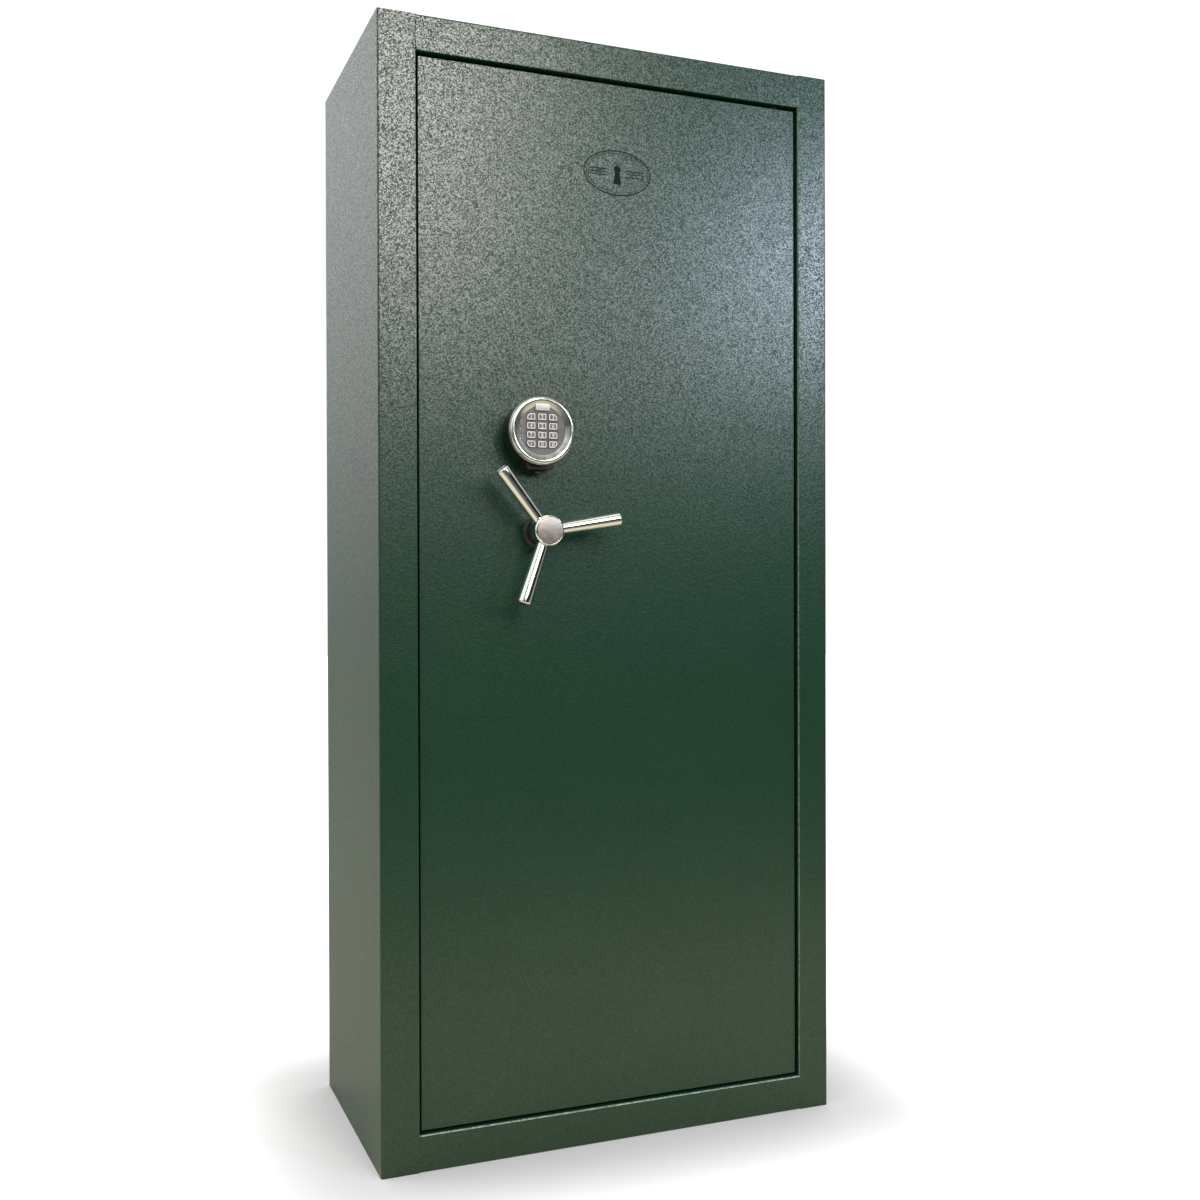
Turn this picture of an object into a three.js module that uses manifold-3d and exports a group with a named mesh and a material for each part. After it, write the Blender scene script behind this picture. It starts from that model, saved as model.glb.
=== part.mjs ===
// A tall steel gun safe with a recessed flush door on concealed pivot hinges, an electronic keypad lock
// and a three-spoke handle. The handle's cam throws four side bolts, one top bolt and one bottom bolt.
// Millimetres. +X is to the right, +Y goes into the safe and +Z is up; the front faces -Y.
// The origin is the centre of the cabinet's footprint, on the floor. At rest the door is closed and
// the bolts are drawn in.

import * as THREE from "three";
import { mergeVertices } from "three/addons/utils/BufferGeometryUtils.js";
import Module from "manifold-3d";

const wasm = await Module();
wasm.setup();

// ---- Driving dimensions ----

const WIDTH = 662;
const DEPTH = 356;
const HEIGHT = 1500;
const SHEET = 2; // body steel
const BEND = 2.6; // outer radius of a fold
const EDGE = 1.2; // rounding of the edges where the door meets its frame
const WELD_GAP = 0.3; // left between pieces that touch
const STILE_LEFT = 51;
const STILE_RIGHT = 46;
const RAIL_TOP = 47;
const RAIL_BOTTOM = 48;
const JAMB_DEPTH = 38; // how far the frame's edge is folded back
const STOP_WIDTH = 14; // door stop, inside the opening
const DOOR_GAP = 3.5;
const DOOR_RECESS = 7;
const DOOR_PLATE = 4;
const DOOR_FLANGE = 26;
const DOOR_THICKNESS = 68.5; // door face to the back of the boltwork cover
const PIVOT_FROM_EDGE = 32;
const PIVOT_BEHIND_FACE = 11;
const HANDLE_X = -113.4;
const HANDLE_Z = 834.2;
const KEYPAD_X = -119.2;
const KEYPAD_Z = 966.1;
const LOCK_TURN = THREE.MathUtils.degToRad(50); // handle, open to locked
const BOLT_THROW = 22;
const BOLT_RADIUS = 10;
const SIDE_BOLTS = 4;
const SIDE_BOLT_SPACING = 345;
const LINER = 10;

// ---- Places that follow from them ----

const LEFT = -WIDTH / 2;
const RIGHT = WIDTH / 2;
const FRONT = -DEPTH / 2;
const BACK = DEPTH / 2;
const OPENING = {
  left: LEFT + STILE_LEFT,
  right: RIGHT - STILE_RIGHT,
  bottom: RAIL_BOTTOM,
  top: HEIGHT - RAIL_TOP,
};
const DOOR = {
  left: OPENING.left + DOOR_GAP,
  right: OPENING.right - DOOR_GAP,
  bottom: OPENING.bottom + DOOR_GAP,
  top: OPENING.top - DOOR_GAP,
  face: FRONT + DOOR_RECESS,
  skinBack: FRONT + DOOR_RECESS + DOOR_PLATE,
  flangeBack: FRONT + DOOR_RECESS + DOOR_FLANGE,
  back: FRONT + DOOR_RECESS + DOOR_THICKNESS,
};
const JAMB_BACK = FRONT + JAMB_DEPTH;
const PIVOT_X = DOOR.right - PIVOT_FROM_EDGE;
const PIVOT_Y = DOOR.face + PIVOT_BEHIND_FACE;
const BOLT_Y = JAMB_BACK + SHEET + 3 + BOLT_RADIUS; // bolts pass just behind the door stop
const COVER_INSET = 22;
const COVER = {
  left: DOOR.left + COVER_INSET,
  right: PIVOT_X - 41.5,
  bottom: DOOR.bottom + COVER_INSET,
  top: DOOR.top - COVER_INSET,
  sheet: 1.5,
};
const HINGE_STOP_END = PIVOT_X - 40; // the top and bottom door stops end here, clear of the swing
const ROUND = 24; // sides of a small round piece

// ---- Solids ----

// A closed geometry as a manifold solid, with shared vertices merged and collapsed faces dropped.
function solid(geometry) {
  const bare = geometry.clone();
  bare.deleteAttribute("normal");
  bare.deleteAttribute("uv");
  const merged = mergeVertices(bare, 1e-4);
  const corners = merged.index.array;
  const kept = [];
  for (let i = 0; i < corners.length; i += 3) {
    const [a, b, c] = [corners[i], corners[i + 1], corners[i + 2]];
    if (a !== b && b !== c && a !== c) kept.push(a, b, c);
  }
  const mesh = new wasm.Mesh({
    numProp: 3,
    vertProperties: merged.attributes.position.array,
    triVerts: new Uint32Array(kept),
  });
  return new wasm.Manifold(mesh);
}

function geometryOf(made) {
  const mesh = made.getMesh();
  const geometry = new THREE.BufferGeometry();
  geometry.setAttribute("position", new THREE.BufferAttribute(mesh.vertProperties, 3));
  geometry.setIndex(new THREE.BufferAttribute(mesh.triVerts, 1));
  geometry.computeVertexNormals();
  return geometry;
}

const join = (first, ...rest) => rest.reduce((all, one) => all.add(one), first);
const cut = (first, ...tools) => tools.reduce((left, tool) => left.subtract(tool), first);

// A box between two corners.
function block([x0, y0, z0], [x1, y1, z1]) {
  const geometry = new THREE.BoxGeometry(x1 - x0, y1 - y0, z1 - z0);
  geometry.translate((x0 + x1) / 2, (y0 + y1) / 2, (z0 + z1) / 2);
  return solid(geometry);
}

// A round bar from one point to another, which may taper.
function bar(from, to, radius, endRadius = radius, sides = ROUND) {
  const start = new THREE.Vector3(...from);
  const span = new THREE.Vector3(...to).sub(start);
  const geometry = new THREE.CylinderGeometry(endRadius, radius, span.length(), sides);
  geometry.translate(0, span.length() / 2, 0);
  const turn = new THREE.Quaternion().setFromUnitVectors(
    new THREE.Vector3(0, 1, 0),
    span.clone().normalize(),
  );
  geometry.applyQuaternion(turn);
  geometry.translate(start.x, start.y, start.z);
  return solid(geometry);
}

// A shape drawn in x and z, made into a plate between two depths.
function plate(shape, yFront, yBack) {
  const geometry = new THREE.ExtrudeGeometry(shape, {
    depth: yBack - yFront,
    bevelEnabled: false,
    curveSegments: 6,
  });
  geometry.rotateX(Math.PI / 2);
  geometry.translate(0, yBack, 0);
  return solid(geometry);
}

// A profile of [radius, depth] points turned about the Y axis, depth growing along +Y.
function turned(profile, sides = ROUND) {
  const points = profile.map(([radius, depth]) => new THREE.Vector2(radius, depth));
  return solid(new THREE.LatheGeometry(points, sides));
}

// A polygon with its right-angled corners rounded. Each corner is [a, b] or [a, b, radius].
function roundedOutline(corners) {
  const steps = 5;
  return corners.flatMap(([a, b, radius = 0], i) => {
    const corner = new THREE.Vector2(a, b);
    const towards = (j) => {
      const [nextA, nextB] = corners.at(j % corners.length);
      return new THREE.Vector2(nextA, nextB).sub(corner).normalize();
    };
    if (!radius) return [corner];
    const [before, after] = [towards(i - 1), towards(i + 1)];
    return Array.from({ length: steps + 1 }, (_, k) => {
      const angle = (k / steps) * (Math.PI / 2);
      const point = corner.clone().addScaledVector(before, radius * (1 - Math.sin(angle)));
      return point.addScaledVector(after, radius * (1 - Math.cos(angle)));
    });
  });
}

// An outline in x and y carried up from z0 to z1.
function upright(corners, z0, z1) {
  const shape = new THREE.Shape(roundedOutline(corners));
  const geometry = new THREE.ExtrudeGeometry(shape, { depth: z1 - z0, bevelEnabled: false });
  geometry.translate(0, 0, z0);
  return solid(geometry);
}

// An outline in y and z carried across from x0 to x1.
function across(corners, x0, x1) {
  const shape = new THREE.Shape(roundedOutline(corners));
  const geometry = new THREE.ExtrudeGeometry(shape, { depth: x1 - x0, bevelEnabled: false });
  const [x, y, z] = [0, 1, 2].map((i) => new THREE.Vector3().setComponent(i, 1));
  geometry.applyMatrix4(new THREE.Matrix4().makeBasis(y, z, x));
  geometry.translate(x0, 0, 0);
  return solid(geometry);
}

function shapeOf(points) {
  return new THREE.Shape(points.map(([x, z]) => new THREE.Vector2(x, z)));
}

// ---- Materials ----

const finish = (color, roughness, metalness) =>
  new THREE.MeshStandardMaterial({ color, roughness, metalness });
const greenPaint = finish(0x21422f, 0.42, 0.1);
const chrome = finish(0xd8d8d4, 0.12, 1);
const brushedCap = finish(0xa8a29c, 0.4, 1);
const steel = finish(0x8e9092, 0.35, 1);
const zincPlate = finish(0xa9aaa4, 0.45, 0.9);
const blackPlastic = finish(0x141516, 0.5, 0);
const keypadGrey = finish(0x4a4a48, 0.55, 0);
const keyRubber = finish(0x3a3a39, 0.6, 0);
const sealRubber = finish(0x18191a, 0.8, 0);
const bronze = finish(0x9a7440, 0.4, 0.9);
const carpet = finish(0x4b4a48, 0.95, 0);
const batteryCase = finish(0x2c2e33, 0.35, 0.4);

function piece(group, name, made, material) {
  const mesh = new THREE.Mesh(geometryOf(made), material);
  mesh.name = name;
  group.add(mesh);
  return mesh;
}

// ---- Cabinet ----

const safe = new THREE.Group();
const cabinet = new THREE.Group();
const door = new THREE.Group();
safe.add(cabinet, door);

const INNER = SHEET + WELD_GAP; // from an outer face to the first face inside its sheet

// A side sheet with its front stile and the folded jamb, as one bent piece. side is -1 or 1.
function sidePanel(side) {
  const [outer, jamb] = side < 0 ? [LEFT, OPENING.left] : [RIGHT, OPENING.right];
  const inside = outer - side * SHEET;
  const jambInside = jamb + side * SHEET;
  const folded = upright(
    [
      [outer, BACK - INNER],
      [outer, FRONT, BEND],
      [jamb, FRONT, EDGE],
      [jamb, JAMB_BACK],
      [jambInside, JAMB_BACK],
      [jambInside, FRONT + SHEET],
      [inside, FRONT + SHEET, BEND - SHEET],
      [inside, BACK - INNER],
    ],
    0,
    HEIGHT,
  );
  const [x0, x1] = [Math.min(inside, jamb - side), Math.max(inside, jamb - side)];
  const endCut = (z0, z1) => block([x0, FRONT + SHEET, z0], [x1, JAMB_BACK + 1, z1]);
  return cut(folded, endCut(-1, INNER), endCut(HEIGHT - INNER, HEIGHT + 1));
}

const HINGE_PIN_RADIUS = 5;

// A horizontal sheet with its front rail and folded jamb. up is 1 at the top and -1 at the bottom.
function capPanel(up) {
  const [outer, edge] = up > 0 ? [HEIGHT, OPENING.top] : [0, OPENING.bottom];
  const [inside, edgeInside] = [outer - up * SHEET, edge + up * SHEET];
  const folded = across(
    [
      [BACK - INNER, outer],
      [FRONT, outer, BEND],
      [FRONT, edge, EDGE],
      [JAMB_BACK, edge],
      [JAMB_BACK, edgeInside],
      [FRONT + SHEET, edgeInside],
      [FRONT + SHEET, inside, BEND - SHEET],
      [BACK - INNER, inside],
    ],
    OPENING.left + WELD_GAP,
    OPENING.right - WELD_GAP,
  );
  const [low, high] = [Math.min(outer, inside), Math.max(outer, inside)];
  const sheet = block([LEFT + INNER, FRONT + INNER, low], [RIGHT - INNER, BACK - INNER, high]);
  const at = (z) => [PIVOT_X, PIVOT_Y, z];
  const pinHole = bar(at(edge - 3), at(edge + 3), HINGE_PIN_RADIUS + 0.6);
  return cut(join(folded, sheet), pinHole);
}

const ANCHOR_RADIUS = 6.5;
const ANCHOR_X = 240;
const ANCHOR_Y = 110;

function anchorHole(x, y) {
  return bar([x, y, -1], [x, y, SHEET + 1], ANCHOR_RADIUS, ANCHOR_RADIUS, 12);
}

const anchorHoles = [-1, 1].flatMap((i) => [-1, 1].map((j) => anchorHole(i * ANCHOR_X, j * ANCHOR_Y)));

piece(cabinet, "left_side_panel", sidePanel(-1), greenPaint);
piece(cabinet, "right_side_panel", sidePanel(1), greenPaint);
piece(cabinet, "top_panel", capPanel(1), greenPaint);
piece(cabinet, "bottom_panel", cut(capPanel(-1), ...anchorHoles), greenPaint);
piece(cabinet, "back_panel", block([LEFT, BACK - SHEET, 0], [RIGHT, BACK, HEIGHT]), greenPaint);

// A strip round the opening's left, top and bottom edges. It is open on the hinge side.
function threeSided(edge, width, y0, y1, hingeEnd) {
  const [left, bottom, top] = [OPENING.left + edge, OPENING.bottom + edge, OPENING.top - edge];
  return join(
    block([left, y0, bottom], [left + width, y1, top]),
    block([left, y0, top - width], [hingeEnd, y1, top]),
    block([left, y0, bottom], [hingeEnd, y1, bottom + width]),
  );
}

const STOP_FRONT = JAMB_BACK + WELD_GAP;
const SEAL_WIDTH = 12;
const stopFrame = threeSided(
  WELD_GAP - SHEET,
  STOP_WIDTH + SHEET - WELD_GAP,
  STOP_FRONT,
  STOP_FRONT + SHEET,
  HINGE_STOP_END,
);
const sealStrip = threeSided(0.5, SEAL_WIDTH, DOOR.flangeBack + 0.5, JAMB_BACK, HINGE_STOP_END - 4);
piece(cabinet, "door_stop_frame", stopFrame, greenPaint);
piece(cabinet, "door_seal", sealStrip, sealRubber);

const HINGE_PLATE = 7;
const HINGE_PIN_REACH = 31;

// A plate behind the rail's folded edge with the pivot pin welded into it. up is 1 at the top, -1 below.
function hingeBracket(up) {
  const edge = up > 0 ? OPENING.top + SHEET + WELD_GAP : OPENING.bottom - SHEET - WELD_GAP;
  const far = edge + up * HINGE_PLATE;
  const [low, high] = [Math.min(edge, far), Math.max(edge, far)];
  return join(
    block([PIVOT_X - 25, FRONT + 4, low], [PIVOT_X + 25, JAMB_BACK - 1, high]),
    bar([PIVOT_X, PIVOT_Y, far], [PIVOT_X, PIVOT_Y, far - up * HINGE_PIN_REACH], HINGE_PIN_RADIUS),
  );
}

piece(cabinet, "hinge_bracket_top", hingeBracket(1), steel);
piece(cabinet, "hinge_bracket_bottom", hingeBracket(-1), steel);

// ---- Interior ----

const LINED = {
  left: LEFT + INNER + LINER + WELD_GAP,
  right: RIGHT - INNER - LINER - WELD_GAP,
  back: BACK - INNER - WELD_GAP - LINER - WELD_GAP,
};
const LINER_FRONT = -125;
const LINER_TOP = HEIGHT - 10;
const FIT_FRONT = -88; // front edge of the shelf and the stock rest
const STOCK_REST_TOP = 40;
const SHELF_BOTTOM = 1180;
const SHELF_THICKNESS = 18;
const CLEAT = 20;

function sideLiner(x0) {
  return block([x0, LINER_FRONT, INNER], [x0 + LINER, BACK - INNER - WELD_GAP, LINER_TOP]);
}

function shelfCleat() {
  const [z0, z1] = [SHELF_BOTTOM - WELD_GAP - CLEAT, SHELF_BOTTOM - WELD_GAP];
  const front = FIT_FRONT + 8;
  return join(
    block([LINED.left, front, z0], [LINED.left + CLEAT, LINED.back, z1]),
    block([LINED.right - CLEAT, front, z0], [LINED.right, LINED.back, z1]),
    block([LINED.left, LINED.back - CLEAT, z0], [LINED.right, LINED.back, z1]),
  );
}

const NOTCHES = 7;
const NOTCH_SPACING = 84;
const NOTCH_RADIUS = 17;
const NOTCH_CENTRE_Y = 122;
const RACK = { front: 95, bottom: 1010, top: 1035 };

// A board across the back with round-bottomed notches in its front edge, one for each barrel.
function barrelRack() {
  const board = block([LINED.left, RACK.front, RACK.bottom], [LINED.right, LINED.back, RACK.top]);
  const notches = Array.from({ length: NOTCHES }, (_, i) => {
    const x = (i - (NOTCHES - 1) / 2) * NOTCH_SPACING;
    const [low, high] = [RACK.bottom - 1, RACK.top + 1];
    return join(
      block([x - NOTCH_RADIUS, RACK.front - 1, low], [x + NOTCH_RADIUS, NOTCH_CENTRE_Y, high]),
      bar([x, NOTCH_CENTRE_Y, low], [x, NOTCH_CENTRE_Y, high], NOTCH_RADIUS, NOTCH_RADIUS, 16),
    );
  });
  return cut(board, ...notches);
}

piece(cabinet, "left_liner", sideLiner(LEFT + INNER), carpet);
piece(cabinet, "right_liner", sideLiner(RIGHT - INNER - LINER), carpet);
piece(
  cabinet,
  "back_liner",
  block([LINED.left, LINED.back + WELD_GAP, INNER], [LINED.right, BACK - INNER - WELD_GAP, LINER_TOP]),
  carpet,
);
piece(
  cabinet,
  "stock_rest",
  block([LINED.left, FIT_FRONT, INNER], [LINED.right, LINED.back, STOCK_REST_TOP]),
  carpet,
);
piece(
  cabinet,
  "top_shelf",
  block([LINED.left, FIT_FRONT, SHELF_BOTTOM], [LINED.right, LINED.back, SHELF_BOTTOM + SHELF_THICKNESS]),
  carpet,
);
piece(cabinet, "shelf_cleat", shelfCleat(), carpet);
piece(cabinet, "barrel_rack", barrelRack(), carpet);

// ---- Door ----

const SPINDLE_RADIUS = 6;
const CABLE_HOLE = 6;
const BUSH_RADIUS = 6.6;
const DOOR_EDGE = 2.5; // folded edge of the door plate

// The door plate with its four edges folded back, and holes for the spindle, the cable and the bushes.
function doorSkin() {
  const plan = [
    [DOOR.left, DOOR.face, EDGE],
    [DOOR.right, DOOR.face, EDGE],
    [DOOR.right, DOOR.flangeBack],
    [DOOR.left, DOOR.flangeBack],
  ];
  const section = [
    [DOOR.face, DOOR.bottom, EDGE],
    [DOOR.flangeBack, DOOR.bottom],
    [DOOR.flangeBack, DOOR.top],
    [DOOR.face, DOOR.top, EDGE],
  ];
  const outer = upright(plan, DOOR.bottom, DOOR.top).intersect(across(section, DOOR.left, DOOR.right));
  const hollow = block(
    [DOOR.left + DOOR_EDGE, DOOR.skinBack, DOOR.bottom + DOOR_EDGE],
    [DOOR.right - DOOR_EDGE, DOOR.flangeBack + 1, DOOR.top - DOOR_EDGE],
  );
  const throughSkin = (x, z, radius) => bar([x, DOOR.face - 1, z], [x, DOOR.skinBack + 1, z], radius);
  const at = (z) => [PIVOT_X, PIVOT_Y, z];
  const bushHole = (z) => bar(at(z - DOOR_EDGE - 1), at(z + DOOR_EDGE + 1), BUSH_RADIUS + WELD_GAP);
  return cut(
    outer,
    hollow,
    throughSkin(HANDLE_X, HANDLE_Z, SPINDLE_RADIUS + 2),
    throughSkin(KEYPAD_X, KEYPAD_Z, CABLE_HOLE),
    bushHole(DOOR.top),
    bushHole(DOOR.bottom),
  );
}

const sideBoltHeights = Array.from(
  { length: SIDE_BOLTS },
  (_, i) => (OPENING.bottom + OPENING.top) / 2 + (i - (SIDE_BOLTS - 1) / 2) * SIDE_BOLT_SPACING,
);

const holeAlongX = (x0, x1, z, radius) => bar([x0, BOLT_Y, z], [x1, BOLT_Y, z], radius);
const holeAlongZ = (z0, z1, radius) => bar([HANDLE_X, BOLT_Y, z0], [HANDLE_X, BOLT_Y, z1], radius);

// A tray screwed over the boltwork, open towards the door plate, with a hole for each bolt.
function backCover() {
  const t = COVER.sheet;
  const front = DOOR.skinBack + WELD_GAP;
  const outer = block([COVER.left, front, COVER.bottom], [COVER.right, DOOR.back, COVER.top]);
  const hollow = block(
    [COVER.left + t, front - 1, COVER.bottom + t],
    [COVER.right - t, DOOR.back - t, COVER.top - t],
  );
  const hole = BOLT_RADIUS + 1.5;
  return cut(
    outer,
    hollow,
    ...sideBoltHeights.map((z) => holeAlongX(COVER.left - 1, COVER.left + t + 1, z, hole)),
    holeAlongZ(COVER.top - t - 1, COVER.top + 1, hole),
    holeAlongZ(COVER.bottom - 1, COVER.bottom + t + 1, hole),
  );
}

const CHANNEL = { x: COVER.left + 4.5, web: 3, leg: 18, flange: 2.5 };
const GUIDE_HOLE = BOLT_RADIUS + 0.5;

// The upright channel that the side bolts slide through.
function boltChannel() {
  const [z0, z1] = [COVER.bottom + 6, COVER.top - 6];
  const [y0, y1] = [DOOR.skinBack + WELD_GAP, DOOR.back - COVER.sheet - 0.5];
  const { x, web, leg, flange } = CHANNEL;
  return cut(
    join(
      block([x, y0, z0], [x + web, y1, z1]),
      block([x, y0, z0], [x + leg, y0 + flange, z1]),
      block([x, y1 - flange, z0], [x + leg, y1, z1]),
    ),
    ...sideBoltHeights.map((z) => holeAlongX(x - 1, x + web + 1, z, GUIDE_HOLE)),
  );
}

const GUIDE = { fromCover: 14, plate: 3, halfWidth: 30, foot: 30 };

// An angle bracket that guides the top (up = 1) or bottom (up = -1) bolt.
function endBoltGuide(up) {
  const edge = up > 0 ? COVER.top - GUIDE.fromCover : COVER.bottom + GUIDE.fromCover;
  const low = Math.min(edge, edge - up * GUIDE.plate);
  const high = low + GUIDE.plate;
  const footEnd = edge - up * GUIDE.foot;
  const y0 = DOOR.skinBack + WELD_GAP;
  const [x0, x1] = [HANDLE_X - GUIDE.halfWidth, HANDLE_X + GUIDE.halfWidth];
  return cut(
    join(
      block([x0, y0, low], [x1, DOOR.back - COVER.sheet - 0.5, high]),
      block([x0, y0, Math.min(edge, footEnd)], [x1, y0 + GUIDE.plate, Math.max(edge, footEnd)]),
    ),
    holeAlongZ(low - 1, high + 1, GUIDE_HOLE),
  );
}

// A fixed Z-section bar on the hinge side. Its rear leg sits behind the jamb when the door is shut.
function deadBar() {
  const [z0, z1] = [100, 1400];
  const web = PIVOT_X + 12.5;
  const y0 = DOOR.skinBack + WELD_GAP;
  const legFront = JAMB_BACK + 3;
  return join(
    block([web - 20, y0, z0], [web + 3, y0 + 3, z1]),
    block([web, y0, z0], [web + 3, legFront + 4, z1]),
    block([web, legFront, z0], [OPENING.right + 14, legFront + 4, z1]),
  );
}

const BUSH_COLLAR = 11;

// A flanged bush in the door's folded edge. Its collar takes the thrust. up is 1 at the top, -1 below.
function hingeBush(up) {
  const edge = up > 0 ? DOOR.top + WELD_GAP : DOOR.bottom - WELD_GAP;
  const at = (z) => [PIVOT_X, PIVOT_Y, z];
  const collarEnd = edge + up * 2.2;
  const bodyEnd = edge - up * 14;
  return cut(
    join(
      bar(at(edge), at(collarEnd), BUSH_COLLAR),
      bar(at(bodyEnd), at(collarEnd), BUSH_RADIUS),
    ),
    bar(at(bodyEnd - up), at(collarEnd + up), HINGE_PIN_RADIUS + 0.35),
  );
}

piece(door, "door_skin", doorSkin(), greenPaint);
piece(door, "door_back_cover", backCover(), zincPlate);
piece(door, "bolt_channel", boltChannel(), zincPlate);
piece(door, "top_bolt_guide", endBoltGuide(1), zincPlate);
piece(door, "bottom_bolt_guide", endBoltGuide(-1), zincPlate);
piece(door, "dead_bar", deadBar(), steel);
piece(door, "hinge_bush_top", hingeBush(1), bronze);
piece(door, "hinge_bush_bottom", hingeBush(-1), bronze);

// ---- Cam and boltwork ----

const CAM = { front: DOOR.face + 17, back: DOOR.face + 22, radius: 60, flankDrop: 8 };
const CAM_PIN_RADIUS = 4;
const CAM_PIN_START = 28; // from the axis, bolts drawn in
const SLOT_HALF_WIDTH = 4.5;
const LINK_FRONT = CAM.back + 2; // flat links lie just behind the cam
const LINK_BACK = LINK_FRONT + 5;

const polar = (radius, angle) => [radius * Math.cos(angle), radius * Math.sin(angle)];
const slotRadius = (turn) => CAM_PIN_START + (BOLT_THROW * turn) / LOCK_TURN;

// A spiral slot whose radius grows evenly with the turn, so that its pin moves evenly outwards.
function spiralSlot(startAngle) {
  const steps = 8;
  const overrun = 0.03;
  const line = Array.from({ length: steps + 1 }, (_, i) => {
    const turn = -overrun + (i / steps) * (LOCK_TURN + 2 * overrun);
    return new THREE.Vector2(...polar(slotRadius(turn), startAngle - turn));
  });
  const along = (i) => line[Math.min(i + 1, steps)].clone().sub(line[Math.max(i - 1, 0)]).normalize();
  const side = (i, sign) => {
    const t = along(i);
    return line[i].clone().add(new THREE.Vector2(-t.y, t.x).multiplyScalar(sign * SLOT_HALF_WIDTH));
  };
  const roundEnd = (i, sign) => {
    const heading = Math.atan2(along(i).y, along(i).x);
    return [0.25, 0.5, 0.75].map((share) => {
      const angle = heading + (sign > 0 ? Math.PI / 2 : -Math.PI / 2) - share * Math.PI;
      return line[i].clone().add(new THREE.Vector2(...polar(SLOT_HALF_WIDTH, angle)));
    });
  };
  const indices = line.map((_, i) => i);
  return new THREE.Shape([
    ...indices.map((i) => side(i, 1)),
    ...roundEnd(steps, 1),
    ...indices.reverse().map((i) => side(i, -1)),
    ...roundEnd(0, -1),
  ]);
}

// The cam's edge: round, but with a flank that falls evenly over the lock turn, then a shoulder.
function camEdge(degrees) {
  const lockDegrees = THREE.MathUtils.radToDeg(LOCK_TURN);
  const past = 360 - degrees;
  if (past <= lockDegrees) return CAM.radius - (CAM.flankDrop * past) / lockDegrees;
  return past <= lockDegrees + 12 ? CAM.radius - CAM.flankDrop : CAM.radius;
}

function boltCam() {
  const outline = Array.from({ length: 72 }, (_, i) => {
    const degrees = (i + 1) * 5;
    return polar(camEdge(degrees), THREE.MathUtils.degToRad(degrees));
  });
  const slotStarts = [Math.PI / 2, Math.PI, 1.5 * Math.PI];
  const depthOf = (y) => y - DOOR.face;
  return cut(
    plate(shapeOf(outline), depthOf(CAM.front), depthOf(CAM.back)),
    ...slotStarts.map((a) => plate(spiralSlot(a), depthOf(CAM.front) - 1, depthOf(CAM.back) + 1)),
    bar([0, depthOf(CAM.front) - 1, 0], [0, depthOf(CAM.back) + 1, 0], SPINDLE_RADIUS + WELD_GAP),
  );
}

const BOLT_TIP_X = DOOR.left + 14.5; // end of a side bolt, drawn in
const BOLT_LENGTH = 39.7;
const BAR_X = BOLT_TIP_X + BOLT_LENGTH + WELD_GAP;

function camPin(x, z) {
  return bar([x, CAM.front - 1, z], [x, LINK_FRONT + 1, z], CAM_PIN_RADIUS, CAM_PIN_RADIUS, 16);
}

// The upright bar that carries the side bolts, with the arm and pin that the cam drives.
function boltBar() {
  const halfArm = 11;
  const pinX = HANDLE_X - CAM_PIN_START;
  const [y0, y1] = [BOLT_Y - BOLT_RADIUS, BOLT_Y + BOLT_RADIUS];
  const half = ((SIDE_BOLTS - 1) * SIDE_BOLT_SPACING) / 2 + 30;
  const middle = (OPENING.bottom + OPENING.top) / 2;
  return join(
    block([BAR_X, y0, middle - half], [BAR_X + 6, y1, middle + half]),
    block([BAR_X, LINK_FRONT, HANDLE_Z - halfArm], [BAR_X + 17, y1, HANDLE_Z + halfArm]),
    block([BAR_X + 10, LINK_FRONT, HANDLE_Z - halfArm], [pinX + 8, LINK_BACK, HANDLE_Z + halfArm]),
    camPin(pinX, HANDLE_Z),
  );
}

// A flat link from the cam to a round bolt at the top (up = 1) or the bottom (up = -1).
function endBolt(up) {
  const pinZ = HANDLE_Z + up * CAM_PIN_START;
  const near = pinZ - up * 8;
  const tip = up > 0 ? COVER.top + 7.5 : COVER.bottom - 7.5;
  const bolt = tip - up * 65;
  const blockEnd = bolt + up * 15;
  const zSpan = (a, b) => [Math.min(a, b), Math.max(a, b)];
  const [link0, link1] = zSpan(near, blockEnd);
  const [block0, block1] = zSpan(bolt, blockEnd);
  return join(
    block([HANDLE_X - 10, LINK_FRONT, link0], [HANDLE_X + 10, LINK_BACK, link1]),
    block([HANDLE_X - 10, LINK_FRONT, block0], [HANDLE_X + 10, BOLT_Y + BOLT_RADIUS, block1]),
    bar([HANDLE_X, BOLT_Y, blockEnd - up * 3], [HANDLE_X, BOLT_Y, tip], BOLT_RADIUS),
    camPin(HANDLE_X, pinZ),
  );
}

piece(door, "bolt_bar", boltBar(), zincPlate);
sideBoltHeights.forEach((z, i) => {
  const bolt = bar([BOLT_TIP_X + BOLT_LENGTH, BOLT_Y, z], [BOLT_TIP_X, BOLT_Y, z], BOLT_RADIUS);
  piece(door, `locking_bolt_${i + 1}`, bolt, chrome);
});
piece(door, "top_bolt_rod", endBolt(1), zincPlate);
piece(door, "bottom_bolt_rod", endBolt(-1), zincPlate);

// ---- Electronic lock ----

const LOCK = { width: 61, height: 85, front: DOOR.skinBack + 5, back: DOOR.skinBack + 31 };
const LOCK_LEFT = HANDLE_X + CAM.radius + 8;
const LOCK_BOLT = { half: 6, length: 40, clear: 0.8, side: 0.4 };
const LOCK_BOLT_Y = (CAM.front + CAM.back) / 2;

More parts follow.
